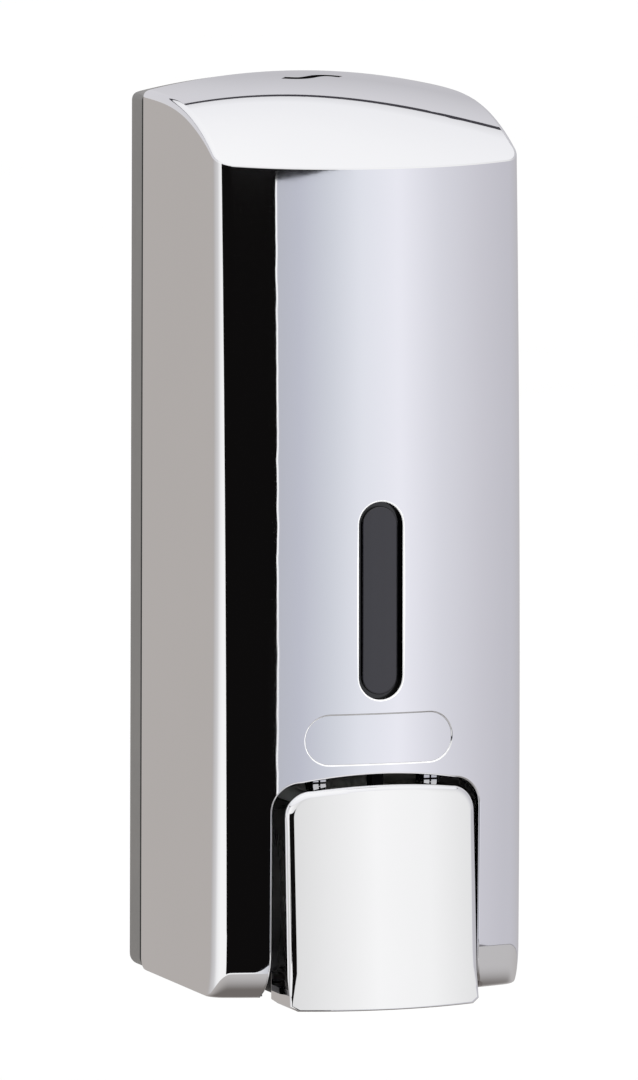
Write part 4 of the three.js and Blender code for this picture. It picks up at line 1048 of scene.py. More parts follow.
def face_cutter(
    name: str, outline: Callable[[float], np.ndarray], lip: Lip, inner_depth: float | None, floor: float = 0.0,
    shares: Shares = (0.0, 0.5, 0.999),
) -> Mesh:
    """Cutter that enters the housing's front face with a rounded rim.

    Args:
        name: Name of the mesh.
        outline: Gives the front view outline moved outwards by a distance.
        lip: The rim's round.
        inner_depth: Depth of the cutter's flat inner end, or None for a recess that follows the face.
        floor: Depth of that recess below the face.
        shares: Sizes of the rings on its floor.

    Returns:
        The closed cutter.
    """
    base = outline(0.0)
    rings = []
    if inner_depth is None:
        middle = (base[:, 1].min() + base[:, 1].max()) / 2
        for share in shares:
            height = middle + (base[:, 1] - middle) * share
            rings.append(to_row(base[:, 0], HOUSING.skin_depth(base[:, 0], height) - floor, height))
    else:
        rings.append(Solids.placed(Axis.FORWARD, base, inner_depth))
    for out, below in lip.sections():
        rim = outline(out)
        rings.append(to_row(rim[:, 0], HOUSING.skin_depth(rim[:, 0], rim[:, 1]) - below, rim[:, 1]))
    rings.append(Solids.placed(Axis.FORWARD, rim, HOUSING.corner_depth + HOUSING.bulge + 2 * OVERRUN))
    return Solids.from_rings(name, rings, (inner_depth is not None, True))


def arched(
    half_width: float, low: float, high: float, side_high: float, corner: float, steps: int = 12, runs: int = 28
) -> np.ndarray:
    """Outline with a flat bottom, straight sides, rounded upper corners and an arched top.

    Args:
        half_width: Half the width.
        low: Height of the bottom.
        high: Height of the top's middle.
        side_high: Height of the top at its corners.
        corner: Radius of the corners.
        steps: Points in each corner.
        runs: Points along the arch.

    Returns:
        The outline as rows of (x, height).
    """
    inner, shoulder = half_width - corner, side_high - corner
    points = [(-half_width + 2 * half_width * i / runs, low) for i in range(runs + 1)]
    points += [(half_width, low + (shoulder - low) * i / steps) for i in range(1, steps)]
    points += arc((inner, shoulder), corner, 0, 1, steps)
    for i in range(1, runs):
        x = inner * (1 - 2 * i / runs)
        points.append((x, side_high + (high - side_high) * (1 - (x / inner) ** 2)))
    points += arc((-inner, shoulder), corner, 1, 2, steps)
    points += [(-half_width, shoulder + (low - shoulder) * i / steps) for i in range(1, steps)]
    return np.array(points)


def about(middle: float, width: float) -> Pair:
    """Both ends of a width about its middle."""
    return middle - width / 2, middle + width / 2


# Front cover


@dataclass(frozen=True)
class FrontCover:
    """The plated cover with its lever opening, window, name recess, key slot, ears and catch."""

    opening_half_width: float = 26.9
    opening_high: float = 55.6
    opening_side_high: float = 53.8
    opening_corner: float = 7.0
    opening_rear: float = 24.0
    flare: float = 1.5
    flare_high: float = 11.0
    window_half_width: float = 5.7
    window_low: float = 74.1
    window_high: float = 123.1
    name_half_width: float = 19.05
    name_low: float = 58.25
    name_high: float = 70.5
    name_recess: float = 1.0
    axle_depth: float = 69.5
    axle_height: float = 59.5
    axle_bore: float = 1.65
    ear_x: float = 19.0
    ear_thick: float = 3.0
    ear_radius: float = 3.4
    hinge_depth: float = 13.4
    hinge_height: float = 4.0
    hinge_round: float = 4.0
    eye_radius: float = 3.9
    eye_near: float = 34.5
    eye_gap: float = 0.3
    ear_slot: Pair = (30.7, 34.5)
    pin_bore: float = 1.65
    pin_limit: float = 38.1
    catch_depths: Pair = (16.8, 19.2)
    catch_half_width: float = 8.0
    catch_low: float = 212.6
    gusset: float = 1.6
    gusset_overlap: float = 0.2
    key_depth: float = 24.5
    key_length: float = 15.0
    key_wave: float = 1.9
    key_width: float = 2.9
    shelf_high: float = 204.5
    opening_lip: Lip = Lip(0.6)
    window_lip: Lip = Lip(0.45)
    name_lip: Lip = Lip(0.42, 5)
    key_lip: Lip = Lip(0.15, 4)
    rim_reach: float = 0.42
    lit_side: float = 0.2
    lit_top: float = 0.3
    key_rim: float = 0.02
    top_skin: float = 0.5

    def _additions(self) -> list[Mesh]:
        """Makes the ears of the lever's axle, the hinge eyes and the catch.

        Returns:
            Their closed meshes.
        """
        made = []
        half = HOUSING.wall / 2
        near, far = self.catch_depths
        high = float(HOUSING.top_height(self.catch_half_width, far)) - half
        for side in (-1, 1):
            x = side * self.ear_x
            front = float(HOUSING.front_depth(x, self.axle_height, half))
            outline = [(front, self.axle_height - self.ear_radius), (front, self.axle_height + self.ear_radius)]
            outline += arc((self.axle_depth, self.axle_height), self.ear_radius, 1, 3)
            made.append(Solids.prism("ear", outline, Axis.ACROSS, about(x, self.ear_thick)))
            foot = self.hinge_height - self.hinge_round + half
            outline = [(self.hinge_depth, foot), (self.hinge_depth + self.eye_radius, foot)]
            outline += arc((self.hinge_depth, self.hinge_height), self.eye_radius, 0, 3)
            ends = (side * self.eye_near, side * (HOUSING.half_width_bottom - half))
            made.append(Solids.prism("eye", outline, Axis.ACROSS, ends))
            edge = side * self.catch_half_width
            made.append(Solids.block(
                "gusset", (edge - side * self.gusset, edge), (near - HOUSING.wall, near + self.gusset_overlap),
                (self.catch_low + HOUSING.wall, high),
            ))
        wide = (-self.catch_half_width, self.catch_half_width)
        made.append(Solids.block("catch", wide, self.catch_depths, (self.catch_low, high)))
        return made

    def _key_outline(self, out: float, steps: int = 28) -> np.ndarray:
        """Plan outline of the wavy key slot.

        Args:
            out: How far it is moved outwards.
            steps: Stretches along the slot.

        Returns:
            The outline as rows of (x, depth).
        """
        half = self.key_width / 2 + out
        length = self.key_length / 2
        line = []
        for i in range(steps + 1):
            x = length * (2 * i / steps - 1)
            line.append((x, self.key_depth + self.key_wave * math.sin((i / steps) * 2 * math.pi)))
        upper, lower = [], []
        for i, (x, depth) in enumerate(line):
            before, after = line[max(i - 1, 0)], line[min(i + 1, steps)]
            run = np.array([after[0] - before[0], after[1] - before[1]])
            run /= np.linalg.norm(run)
            end = -out if i == 0 else out if i == steps else 0.0
            upper.append((x - run[1] * half + end, depth + run[0] * half))
            lower.append((x + run[1] * half + end, depth - run[0] * half))
        return np.array(upper + lower[::-1])

    def _key_cutter(self) -> Mesh:
        """Makes the cutter of the key slot, with a rounded rim on the top face.

        Returns:
            The closed cutter.
        """
        rings = [Solids.placed(Axis.UP, self._key_outline(0.0), self.shelf_high)]
        for out, below in self.key_lip.sections():
            plan = self._key_outline(out)
            rings.append(to_row(plan[:, 0], plan[:, 1], HOUSING.top_height(plan[:, 0], plan[:, 1]) - below))
        rings.append(Solids.placed(Axis.UP, plan, HOUSING.rear_top_height + HOUSING.crown + OVERRUN))
        return Solids.from_rings("key slot", rings, (True, True))

    def _opening(self, out: float) -> np.ndarray:
        """Front view outline of the lever's opening, its sides flared at the foot.

        Args:
            out: How far it is moved outwards.

        Returns:
            The outline as rows of (x, height).
        """
        outline = arched(
            self.opening_half_width + out, -2 * OVERRUN, self.opening_high + out,
            self.opening_side_high + out, self.opening_corner + out, 24,
        )
        share = np.clip(1 - outline[:, 1] / self.flare_high, 0, 1)
        outline[:, 0] *= 1 + self.flare / self.opening_half_width * share**2
        return outline

    def _window(self, out: float) -> np.ndarray:
        """Front view outline of the window, moved outwards."""
        return stadium(self.window_half_width + out, self.window_low - out, self.window_high + out)

    def _name(self, out: float) -> np.ndarray:
        """Front view outline of the name recess, moved outwards."""
        return stadium(self.name_half_width + out, self.name_low - out, self.name_high + out, 16, 40)

    def _cutters(self) -> list[Mesh]:
        """Makes everything that is taken out of the cover.

        Returns:
            The closed cutters.
        """
        behind = self.axle_depth - self.ear_radius - OVERRUN
        front = HOUSING.corner_depth + HOUSING.bulge + OVERRUN
        floor = (-OVERRUN, HOUSING.wall + OVERRUN)
        far = self.ear_x + self.ear_thick
        wide = HOUSING.half_width_bottom + OVERRUN
        axle = (self.axle_depth, self.axle_height)
        hinge = (self.hinge_depth, self.hinge_height)
        made = [
            face_cutter("opening", self._opening, self.opening_lip, behind),
            face_cutter("window", self._window, self.window_lip, HOUSING.corner_depth - OVERRUN),
            face_cutter("name recess", self._name, self.name_lip, None, self.name_recess),
            self._key_cutter(),
            Solids.block(
                "foot", (-self.opening_half_width, self.opening_half_width), (self.opening_rear, front), floor,
            ),
            Solids.rod("axle bore", self.axle_bore, Axis.ACROSS, (-far, far), axle, 32),
        ]
        for side in (-1, 1):
            near, far = sorted((side * self.ear_slot[0], side * self.ear_slot[1]))
            depths = (HOUSING.cover_rear - OVERRUN, self.hinge_depth + self.eye_radius + self.eye_gap)
            made.append(Solids.block("ear slot", (near, far), depths, floor))
            near, far = sorted((side * self.ear_slot[0], side * self.pin_limit))
            made.append(Solids.rod("pin bore", self.pin_bore, Axis.ACROSS, (near, far), hinge, 32))
        reach = self.hinge_round + OVERRUN
        corner = [
            (hinge[0] - reach, hinge[1] - reach), (hinge[0], hinge[1] - reach),
            *arc(hinge, self.hinge_round, -1, -2, 20), (hinge[0] - reach, hinge[1]),
        ]
        made.append(Solids.prism("hinge corner", corner, Axis.ACROSS, (-wide, wide)))
        return made

    def build(self) -> bpy.types.Object:
        """Makes the cover.

        Returns:
            The piece on the cover body.
        """
        outer = HOUSING.form("cover form", 0.0, 0.0, HOUSING.cover_rear, Counts())
        skin = Skin(outer)
        wall = HOUSING.wall
        behind = HOUSING.cover_rear - OVERRUN - wall
        inner = HOUSING.form("cover inside", wall, wall, behind, Counts(12, 6, 30, 2, 12))
        shell = carved(outer, cuts=[inner])
        mesh = carved(shell, joins=self._additions(), cuts=self._cutters())
        following = skin.dress(mesh)
        for polygon in mesh.polygons:
            if polygon.index not in following:
                polygon.material_index = self._place_of(polygon)
        return piece(mesh, "plated_cover", "cover", PLATING, ["front_cover"], INSIDE, RECESS_SHADE, PAINTED_RIM_HIGHLIGHT)

    def _place_of(self, polygon: bpy.types.MeshPolygon) -> Place:
        """Finds the finish of a face that isn't on the outer form.

        Args:
            polygon: The face.

        Returns:
            Its finish's number.
        """
        x, depth, height = spot_of(polygon)
        if height > self.catch_low:
            return self._place_at_top(x, depth, float(HOUSING.top_height(x, depth)) - height, polygon.normal.z)
        below = float(HOUSING.skin_depth(x, height)) - depth
        at_name = self.name_low - OVERRUN < height < self.name_high + OVERRUN
        at_window = self.window_low - OVERRUN < height < self.window_high + OVERRUN
        # Painted highlight: near the face, rims of the window, and rims of the name recess that face right or
        # up, take the near-white rim finish.
        if below < self.rim_reach:
            lit = polygon.normal.x > self.lit_side or polygon.normal.z > self.lit_top
            return Place.RIM if at_window or (at_name and lit) else Place.FACE
        if at_name and below < self.name_recess + SLACK and abs(x) < self.name_half_width + OVERRUN:
            return Place.FACE
        # Painted shade: walls inside the lever opening and the window take the near-black finish.
        in_opening = height < self.opening_high + OVERRUN and abs(x) < self.opening_half_width + OVERRUN
        in_window = abs(x) < self.window_half_width + OVERRUN and below < HOUSING.wall + OVERRUN
        return Place.RECESS_SHADE if (in_opening or in_window) and depth > self.opening_rear else Place.DULL

    def _place_at_top(self, x: float, depth: float, below: float, level: float) -> Place:
        """Finds the finish of a face near the top.

        Args:
            x: Its place to the right of the middle.
            depth: Its distance out from the wall.
            below: How far below the top face it lies.
            level: Height share of its normal.

        Returns:
            Its finish's number.
        """
        # Painted shade: the key slot's walls take the near-black finish, for the shadow inside the slot.
        near_key = abs(x) < self.key_length and abs(depth - self.key_depth) < 2 * self.key_width
        if near_key and below > self.key_rim and abs(level) < Skin.SAME_WAY:
            return Place.RECESS_SHADE
        return Place.DULL if below > self.top_skin else Place.FACE


# Window lens and name plate


@dataclass(frozen=True)
class FaceInsert:
    """A closed stadium-shaped piece that follows the front face at some depth below it."""

    half_width: float
    low: float
    high: float
    sections: tuple[Pair, ...]
    runs: int = 24
    outer_shares: ClassVar[Shares] = (0.0, 0.35, 0.7, 0.95, 0.99)
    inner_shares: ClassVar[Shares] = (0.6, 0.0)

    def mesh(self, name: str) -> Mesh:
        """Makes the piece's mesh.

        Args:
            name: Name of the mesh.

        Returns:
            The mesh, its outer face first and its inner face last.
        """
        rings = []
        middle = (self.low + self.high) / 2
        order = [(self.sections[0], share) for share in self.outer_shares]
        order += [(section, 1.0) for section in self.sections]
        order += [(self.sections[-1], share) for share in self.inner_shares]
        for (out, below), share in order:
            flat = stadium(self.half_width + out, self.low - out, self.high + out, 16, self.runs)
            height = middle + (flat[:, 1] - middle) * share
            rings.append(to_row(flat[:, 0], HOUSING.front_depth(flat[:, 0], height) - below, height))
        return Solids.from_rings(name, rings)


@dataclass(frozen=True)
class FacePieces:
    """The smoked window lens and the bare plated name plate.

    Insets are from the edge of the cover's opening or recess, depths below its front face.
    """

    cover: FrontCover
    sharp: float = 40.0
    lens_gap: float = 0.2
    lens_step: float = 1.2
    lens_below: float = 1.1
    lens_behind: float = 2.4
    lens_flange: float = 2.2
    lens_thick: float = 1.1
    lens_edge: float = 0.25
    lens_face: float = 0.2
    plate_gap: float = 0.02
    plate_below: float = 0.3
    plate_thick: float = 0.62
    plate_edge: float = 0.03

    @staticmethod
    def _front(inset: float, below: float, radius: float, steps: int = 4) -> Profile:
        """Sections of a front edge with a small round, as (outwards, below)."""
        return arc((-inset - radius, below + radius), radius, -1, 0, steps)

    def lens(self) -> bpy.types.Object:
        """Makes the lens.

        Returns:
            The piece on the cover body.
        """
        gap, behind, flange = self.lens_gap, self.lens_behind, self.lens_flange
        sections = self._front(self.lens_step, self.lens_below, self.lens_edge)
        sections += [(-self.lens_step, behind - gap), (-gap, behind - gap), (-gap, behind)]
        sections += [(flange, behind), (flange, behind + self.lens_thick)]
        cover = self.cover
        insert = FaceInsert(cover.window_half_width, cover.window_low, cover.window_high, tuple(sections))
        mesh = insert.mesh("lens")
        smooth(mesh, self.sharp)
        # Painted shade: faces that lie further back than the lens's front edge take the near-black rim finish.
        for polygon in mesh.polygons:
            x, depth, height = spot_of(polygon)
            below = float(HOUSING.front_depth(x, height)) - depth
            polygon.material_index = int(below > self.lens_below + self.lens_face)
        return piece(mesh, "smoked_lens", "cover", SMOKED, ["window_lens"], LENS_RIM_SHADE)

    def name_plate(self) -> bpy.types.Object:
        """Makes the bare name plate.

        Returns:
            The piece on the cover body.
        """
        sections = self._front(self.plate_gap, self.plate_below, self.plate_edge)
        sections.append((-self.plate_gap, self.plate_below + self.plate_thick))
        cover = self.cover
        insert = FaceInsert(cover.name_half_width, cover.name_low, cover.name_high, tuple(sections), 40)
        mesh = insert.mesh("name plate")
        smooth(mesh, self.sharp)
        return piece(mesh, "bare_name_plate", "cover", PLATING, ["name_plate"])


# Push lever


@dataclass(frozen=True)
class PushLever:
    """The plated lever with its lugs, ribs, boss and stop nub."""

    half_width: float = 24.65
    low: float = -1.9
    high: float = 53.45
    side_high: float = 52.25
    corner: float = 6.5
    foot_corner: float = 1.2
    bottom_depth: float = 80.4
    top_depth: float = 77.0
    bulge: float = 5.07
    rear: float = 65.4
    skirt_rear: float = 57.0
    skirt_inset: float = 0.6
    skirt_low: float = 0.6
    wall: float = 2.2
    edge: float = 1.8
    rib_x: float = 10.0
    rib_thick: float = 1.6
    rib_rear: float = 73.0
    lug_x: float = 14.5
    lug_thick: float = 3.3
    lug_radius: float = 3.1
    axle_depth: float = 69.5
    axle_height: float = 59.5
    axle_bore: float = 1.65
    boss_radius: float = 5.5
    boss_rear: float = 69.4
    boss_height: float = 30.0
    socket_radius: float = 1.95
    socket_end: float = 73.6
    nub_half_width: float = 1.5
    nub_high: float = 57.4
    nub_rear: float = 70.6
    nub_gap: float = 0.3
    lean: float = 2.35
    groove: float = 0.5
    groove_height: float = 53.5
    sharp_foot: float = 0.22
    soft_from: float = 9.0
    foot_least: float = 0.4
    inner_edge: float = 0.5
    face_rings: int = 20
    rear_shares: ClassVar[Shares] = (0.0, 0.6, 1.0)
    side_shares: ClassVar[Shares] = (0.01, 0.04, 0.35, 0.7, 0.96, 0.995)
    face_shares: ClassVar[Shares] = (0.995, 0.98)

    def face_depth(self, x: np.ndarray, height: np.ndarray) -> np.ndarray:
        """Depth of the lever's face.

        Args:
            x: Places to the right of the middle.
            height: Heights above the housing's bottom edge.

        Returns:
            The depths.
        """
        share = (np.asarray(height, float) - self.low) / (self.high - self.low)
        corner = self.bottom_depth + (self.top_depth - self.bottom_depth) * share
        return corner + self.bulge * (1 - (np.asarray(x, float) / self.half_width) ** 2)

    def _outline(self, inset: float) -> np.ndarray:
        """Front view outline with small rounds at its two bottom corners.

        Args:
            inset: How far it is moved inwards.

        Returns:
            The outline as rows of (x, height).
        """
        half = self.half_width - inset
        low = self.low + inset
        foot = max(self.foot_corner - inset / 2, self.foot_least)
        corner = max(self.corner - inset, self.edge)
        base = arched(half, low, self.high - inset, self.side_high - inset, corner)
        x, height = base[:, 0].copy(), base[:, 1].copy()
        near = np.maximum(np.abs(x) - (half - foot), 0)
        on_floor = np.isclose(height, low)
        height[on_floor] = low + foot - np.sqrt(np.maximum(foot**2 - near[on_floor] ** 2, 0))
        return np.stack([x, height], axis=-1)

    def _form(self, name: str, inset: float, rear: float, edge: float, steps: int = 10) -> Mesh:
        """Makes the lever's closed block, or the same moved inwards.

        Args:
            name: Name of the mesh.
            inset: How far it is moved inwards.
            rear: Depth of its flat rear.
            edge: Radius of the round about its face.
            steps: Steps in that round.

        Returns:
            The mesh.
        """
        middle = np.array([0.0, (self.low + self.high) / 2])
        base = self._outline(inset)
        rings = [
            to_row(base[:, 0] * share, rear, middle[1] + (base[:, 1] - middle[1]) * share)
            for share in self.rear_shares
        ]
        face = self._outline(inset + edge)
        rise = np.clip((base[:, 1] - self.low) / self.soft_from, 0, 1)
        soft = self.sharp_foot + (1 - self.sharp_foot) * rise * rise * (3 - 2 * rise)
        for i in range(steps + 1):
            turn = QUARTER * i / steps
            drawn = base + (face - base) * (soft * (1 - math.cos(turn)))[:, None]
            depth = self.face_depth(drawn[:, 0], drawn[:, 1]) - inset - edge * soft * (1 - math.sin(turn))
            if i == 0:
                for share in self.side_shares:
                    rings.append(to_row(drawn[:, 0], rear + (depth - rear) * share, drawn[:, 1]))
            rings.append(to_row(drawn[:, 0], depth, drawn[:, 1]))
        closing = [1 - i / self.face_rings for i in range(1, self.face_rings + 1)]
        for share in (*self.face_shares, *closing):
            spot = middle + (drawn - middle) * share
            rings.append(to_row(spot[:, 0], self.face_depth(spot[:, 0], spot[:, 1]) - inset, spot[:, 1]))
        return Solids.from_rings(name, rings)

    def _additions(self) -> list[Mesh]:
        """Makes the lugs, ribs, skirts, boss and nub.

        Returns:
            Their closed meshes.
        """
        made = []
        half_wall = self.wall / 2
        low = self.side_high - half_wall
        for side in (-1, 1):
            outline = [(self.axle_depth - self.lug_radius, low), (self.axle_depth + self.lug_radius, low)]
            outline += arc((self.axle_depth, self.axle_height), self.lug_radius, 0, 2, 20)
            made.append(Solids.prism("lug", outline, Axis.ACROSS, about(side * self.lug_x, self.lug_thick)))
            x = side * self.rib_x
            outline = [
                (self.rib_rear, self.low + half_wall),
                (float(self.face_depth(x, self.low)) - half_wall, self.low + half_wall),
                (float(self.face_depth(x, self.high)) - half_wall, low),
                (self.rib_rear - self.wall, low),
            ]
            made.append(Solids.prism("rib", outline, Axis.ACROSS, about(x, self.rib_thick)))
            edge = side * (self.half_width - self.skirt_inset)
            made.append(Solids.block(
                "skirt", (edge - side * (self.wall - self.skirt_inset), edge),
                (self.skirt_rear, self.rear + self.wall), (self.skirt_low, self.side_high - self.corner),
            ))
        boss = (self.boss_rear, float(self.face_depth(0, self.boss_height)) - half_wall)
        made.append(Solids.rod("boss", self.boss_radius, Axis.FORWARD, boss, (0.0, self.boss_height)))
        nub = (self.nub_rear, float(HOUSING.front_depth(0, self.nub_high, HOUSING.wall)) - self.nub_gap)
        wide = (-self.nub_half_width, self.nub_half_width)
        made.append(Solids.block("nub", wide, nub, (low, self.nub_high)))
        return made

    def _lug_grooves(self) -> list[Mesh]:
        """Makes the cutters of the shallow grooves that cross on the front of each lug.

        Returns:
            The closed cutters.
        """
        made = []
        front = self.axle_depth + self.lug_radius
        depths = (front - self.groove, front + OVERRUN)
        upright = (self.side_high + self.groove, self.axle_height - self.groove / 2)
        level = about(self.groove_height, self.groove)
        for side in (-1, 1):
            x = side * self.lug_x
            made.append(Solids.block("upright groove", about(x, self.groove), depths, upright))
            made.append(Solids.block("level groove", about(x, self.lug_thick + 2 * OVERRUN), depths, level))
        return made

    def build(self) -> bpy.types.Object:
        """Makes the lever.

        Returns:
            The piece on the lever body.
        """
        outer = self._form("lever form", 0.0, self.rear, self.edge)
        skin = Skin(outer)
        inner = self._form("lever inside", self.wall, self.rear - OVERRUN, self.inner_edge)
        shell = carved(outer, cuts=[inner])
        far = self.lug_x + self.lug_thick
        axle = (self.axle_depth, self.axle_height)
        bore = Solids.rod("bore", self.axle_bore, Axis.ACROSS, (-far, far), axle, 32)
        depths = (self.boss_rear - OVERRUN, self.socket_end)
        socket = Solids.rod("socket", self.socket_radius, Axis.FORWARD, depths, (0.0, self.boss_height), 32)
        mesh = carved(shell, joins=self._additions(), cuts=[bore, socket, *self._lug_grooves()])
        following = skin.dress(mesh, lean=self.lean)
        # Painted shade: faces off the outer form take the near-black finish, and the lug fronts take the dulled
        # plating, darkened for the shade in the gap above the lever.
        for polygon in mesh.polygons:
            if polygon.index not in following:
                x, depth, _ = spot_of(polygon)
                on_lug = abs(abs(x) - self.lug_x) < self.lug_thick / 2 - SLACK
                on_front = depth > self.axle_depth + self.lug_radius - SLACK
                polygon.material_index = Place.DULL if on_lug and on_front else Place.RECESS_SHADE
        return piece(mesh, "plated_lever", "lever", PLATING, ["push_lever"], DULLED_SHADED, RECESS_SHADE)


# Back plate


def cad_copy(name: str, flat: float = 0.3) -> Mesh:
    """Copies a CAD node's mesh as a clean closed mesh in the row frame.

    Args:
        name: The CAD node.
        flat: Angle in degrees up to which faces count as one.

    Returns:
        The copy, its flat faces joined.
    """
    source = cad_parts[name]
    work = bmesh.new()
    work.from_mesh(source.data)
    work.transform(source.matrix_world)
    bmesh.ops.remove_doubles(work, verts=work.verts, dist=MERGE)
    bmesh.ops.dissolve_limit(work, angle_limit=math.radians(flat), verts=work.verts, edges=work.edges)
    work.verts.index_update()
    mesh = bpy.data.meshes.new(name)
    mesh.from_pydata([v.co[:] for v in work.verts], [], [[v.index for v in f.verts] for f in work.faces])
    work.free()
    return mesh


def moved(outline: np.ndarray, out: float, bluntest: float = 0.5) -> np.ndarray:
    """Moves a counterclockwise outline outwards by a small distance.

    Args:
        outline: Its points, one row each.
        out: The distance.
        bluntest: Share that limits how far a sharp corner moves.

    Returns:
        The moved points.
    """
    before, after = outline - np.roll(outline, 1, axis=0), np.roll(outline, -1, axis=0) - outline
    before /= np.linalg.norm(before, axis=1, keepdims=True)
    after /= np.linalg.norm(after, axis=1, keepdims=True)
    first = np.stack([before[:, 1], -before[:, 0]], axis=-1)
    normal = first + np.stack([after[:, 1], -after[:, 0]], axis=-1)
    normal /= np.linalg.norm(normal, axis=1, keepdims=True)
    scale = out / np.maximum((normal * first).sum(axis=1), bluntest)
    return outline + normal * scale[:, None]


@dataclass(frozen=True)
class BackPlate:
    """The grey back plate: its rim rebuilt with soft edges round the solid's own floor, ribs and ears."""

    corner: float = 3.0
    top_corner: float = 1.8
    top_drop: float = 0.85
    rim: float = 1.6
    join: float = 1.1
    rear_edge: float = 0.4
    front_edge: float = 0.8
    shade: float = 0.62
    crown_steps: int = 80
    crown_from: int = 8
    edge_steps: int = 6
    sharp: float = 32.0
    seam_levels: Pair = (0.1, 0.99)
    seam_sideways: float = 0.12

    def _outline(self) -> np.ndarray:
        """Front view outline of the plate.

        Returns:
            The outline as rows of (x, height), from the foot's right corner up and round.
        """
        side = float(HOUSING.half_width(0.0))
        foot = arc((side - self.corner, self.corner), self.corner, -1, 0, 8)
        half = HOUSING.half_width_top
        crown = []
        for x in np.linspace(half, -half, self.crown_steps + 1):
            crown.append((float(x), float(HOUSING.top_height(x, HOUSING.cover_rear)) - self.top_drop))
        corners = [foot[-1], crown[0], crown[self.crown_from]]
        rounded = softened(corners, self.top_corner, 8)[1:-1]
        left = [(-x, height) for x, height in reversed(rounded)]
        left_foot = [(-x, height) for x, height in reversed(foot)]
        inner = [spot for spot in crown if abs(spot[0]) < rounded[-1][0] - SLACK]
        return np.array(foot + rounded + inner + left + left_foot)

    @staticmethod
    def _loop(name: str, outline: np.ndarray, sections: Sequence[Pair]) -> Mesh:
        """Makes a closed frame swept round an outline.

        Args:
            name: Name of the mesh.
            outline: The outline.
            sections: The frame's section as rows of (outwards, depth).

        Returns:
            The mesh.
        """
        rings = [Solids.placed(Axis.FORWARD, moved(outline, out), depth) for out, depth in sections]
        return Solids.from_rings(name, [*rings, rings[0]])

    def build(self) -> bpy.types.Object:
        """Makes the plate.

        Returns:
            The piece on the back body.
        """
        outline = self._outline()
        front, rear_edge, front_edge = HOUSING.plate_depth, self.rear_edge, self.front_edge
        rim = self._loop("plate rim", outline, [
            (-self.rim, 0.0), *arc((-rear_edge, rear_edge), rear_edge, -1, 0, self.edge_steps),
            (0.0, front / 3), (0.0, 2 * front / 3),
            *arc((-front_edge, front - front_edge), front_edge, 0, 1, self.edge_steps),
            (-self.rim, front), (-self.rim, front / 2),
        ])
        wide, deep = 2 * OVERRUN, HOUSING.cover_rear
        outside = [(-self.join, -OVERRUN), (wide, -OVERRUN), (wide, deep), (-self.join, deep)]
        inner = carved(cad_copy("back_plate"), cuts=[self._loop("outside of the plate", outline, outside)])
        mesh = carved(rim, joins=[inner])
        smooth(mesh, self.sharp)
        # Painted shade: faces of the side rounding within `shade` of the front take the near-black seam finish.
        low, high = self.seam_levels
        for polygon in mesh.polygons:
            rounded = low < abs(polygon.normal.y) < high and abs(polygon.normal.x) > self.seam_sideways
            polygon.material_index = int(rounded and front - self.shade < spot_of(polygon)[1] < front)
        return piece(mesh, "grey_back_plate", "back", GREY, ["back_plate"], SEAM_SHADE)


# Inner pieces


@dataclass(frozen=True)
class Refined:
    """A solid that keeps its CAD form and gets softened edges and smooth rounds."""

    node: str
    body: str
    finish: Finish
    edge: float = 0.2
    steps: int = 2
    edge_angle: float = 34.0
    sharp: float = 36.0

    def build(self) -> bpy.types.Object:
        """Makes the softened piece.

        Returns:
            The piece on its body.
        """
        work = linked(self.node, cad_copy(self.node))
        bevel = work.modifiers.new("edges", "BEVEL")
        bevel.width = self.edge * MILLIMETRE
        bevel.segments = self.steps
        bevel.limit_method = "ANGLE"
        bevel.angle_limit = math.radians(self.edge_angle)
        mesh = baked(work, self.node)
        smooth(mesh, self.sharp)
        work = linked(self.node, mesh)
        work.modifiers.new("flat faces first", "WEIGHTED_NORMAL").keep_sharp = True
        finished = baked(work, self.node)
        return piece(finished, f"{self.node}_finished", self.body, self.finish, [self.node])


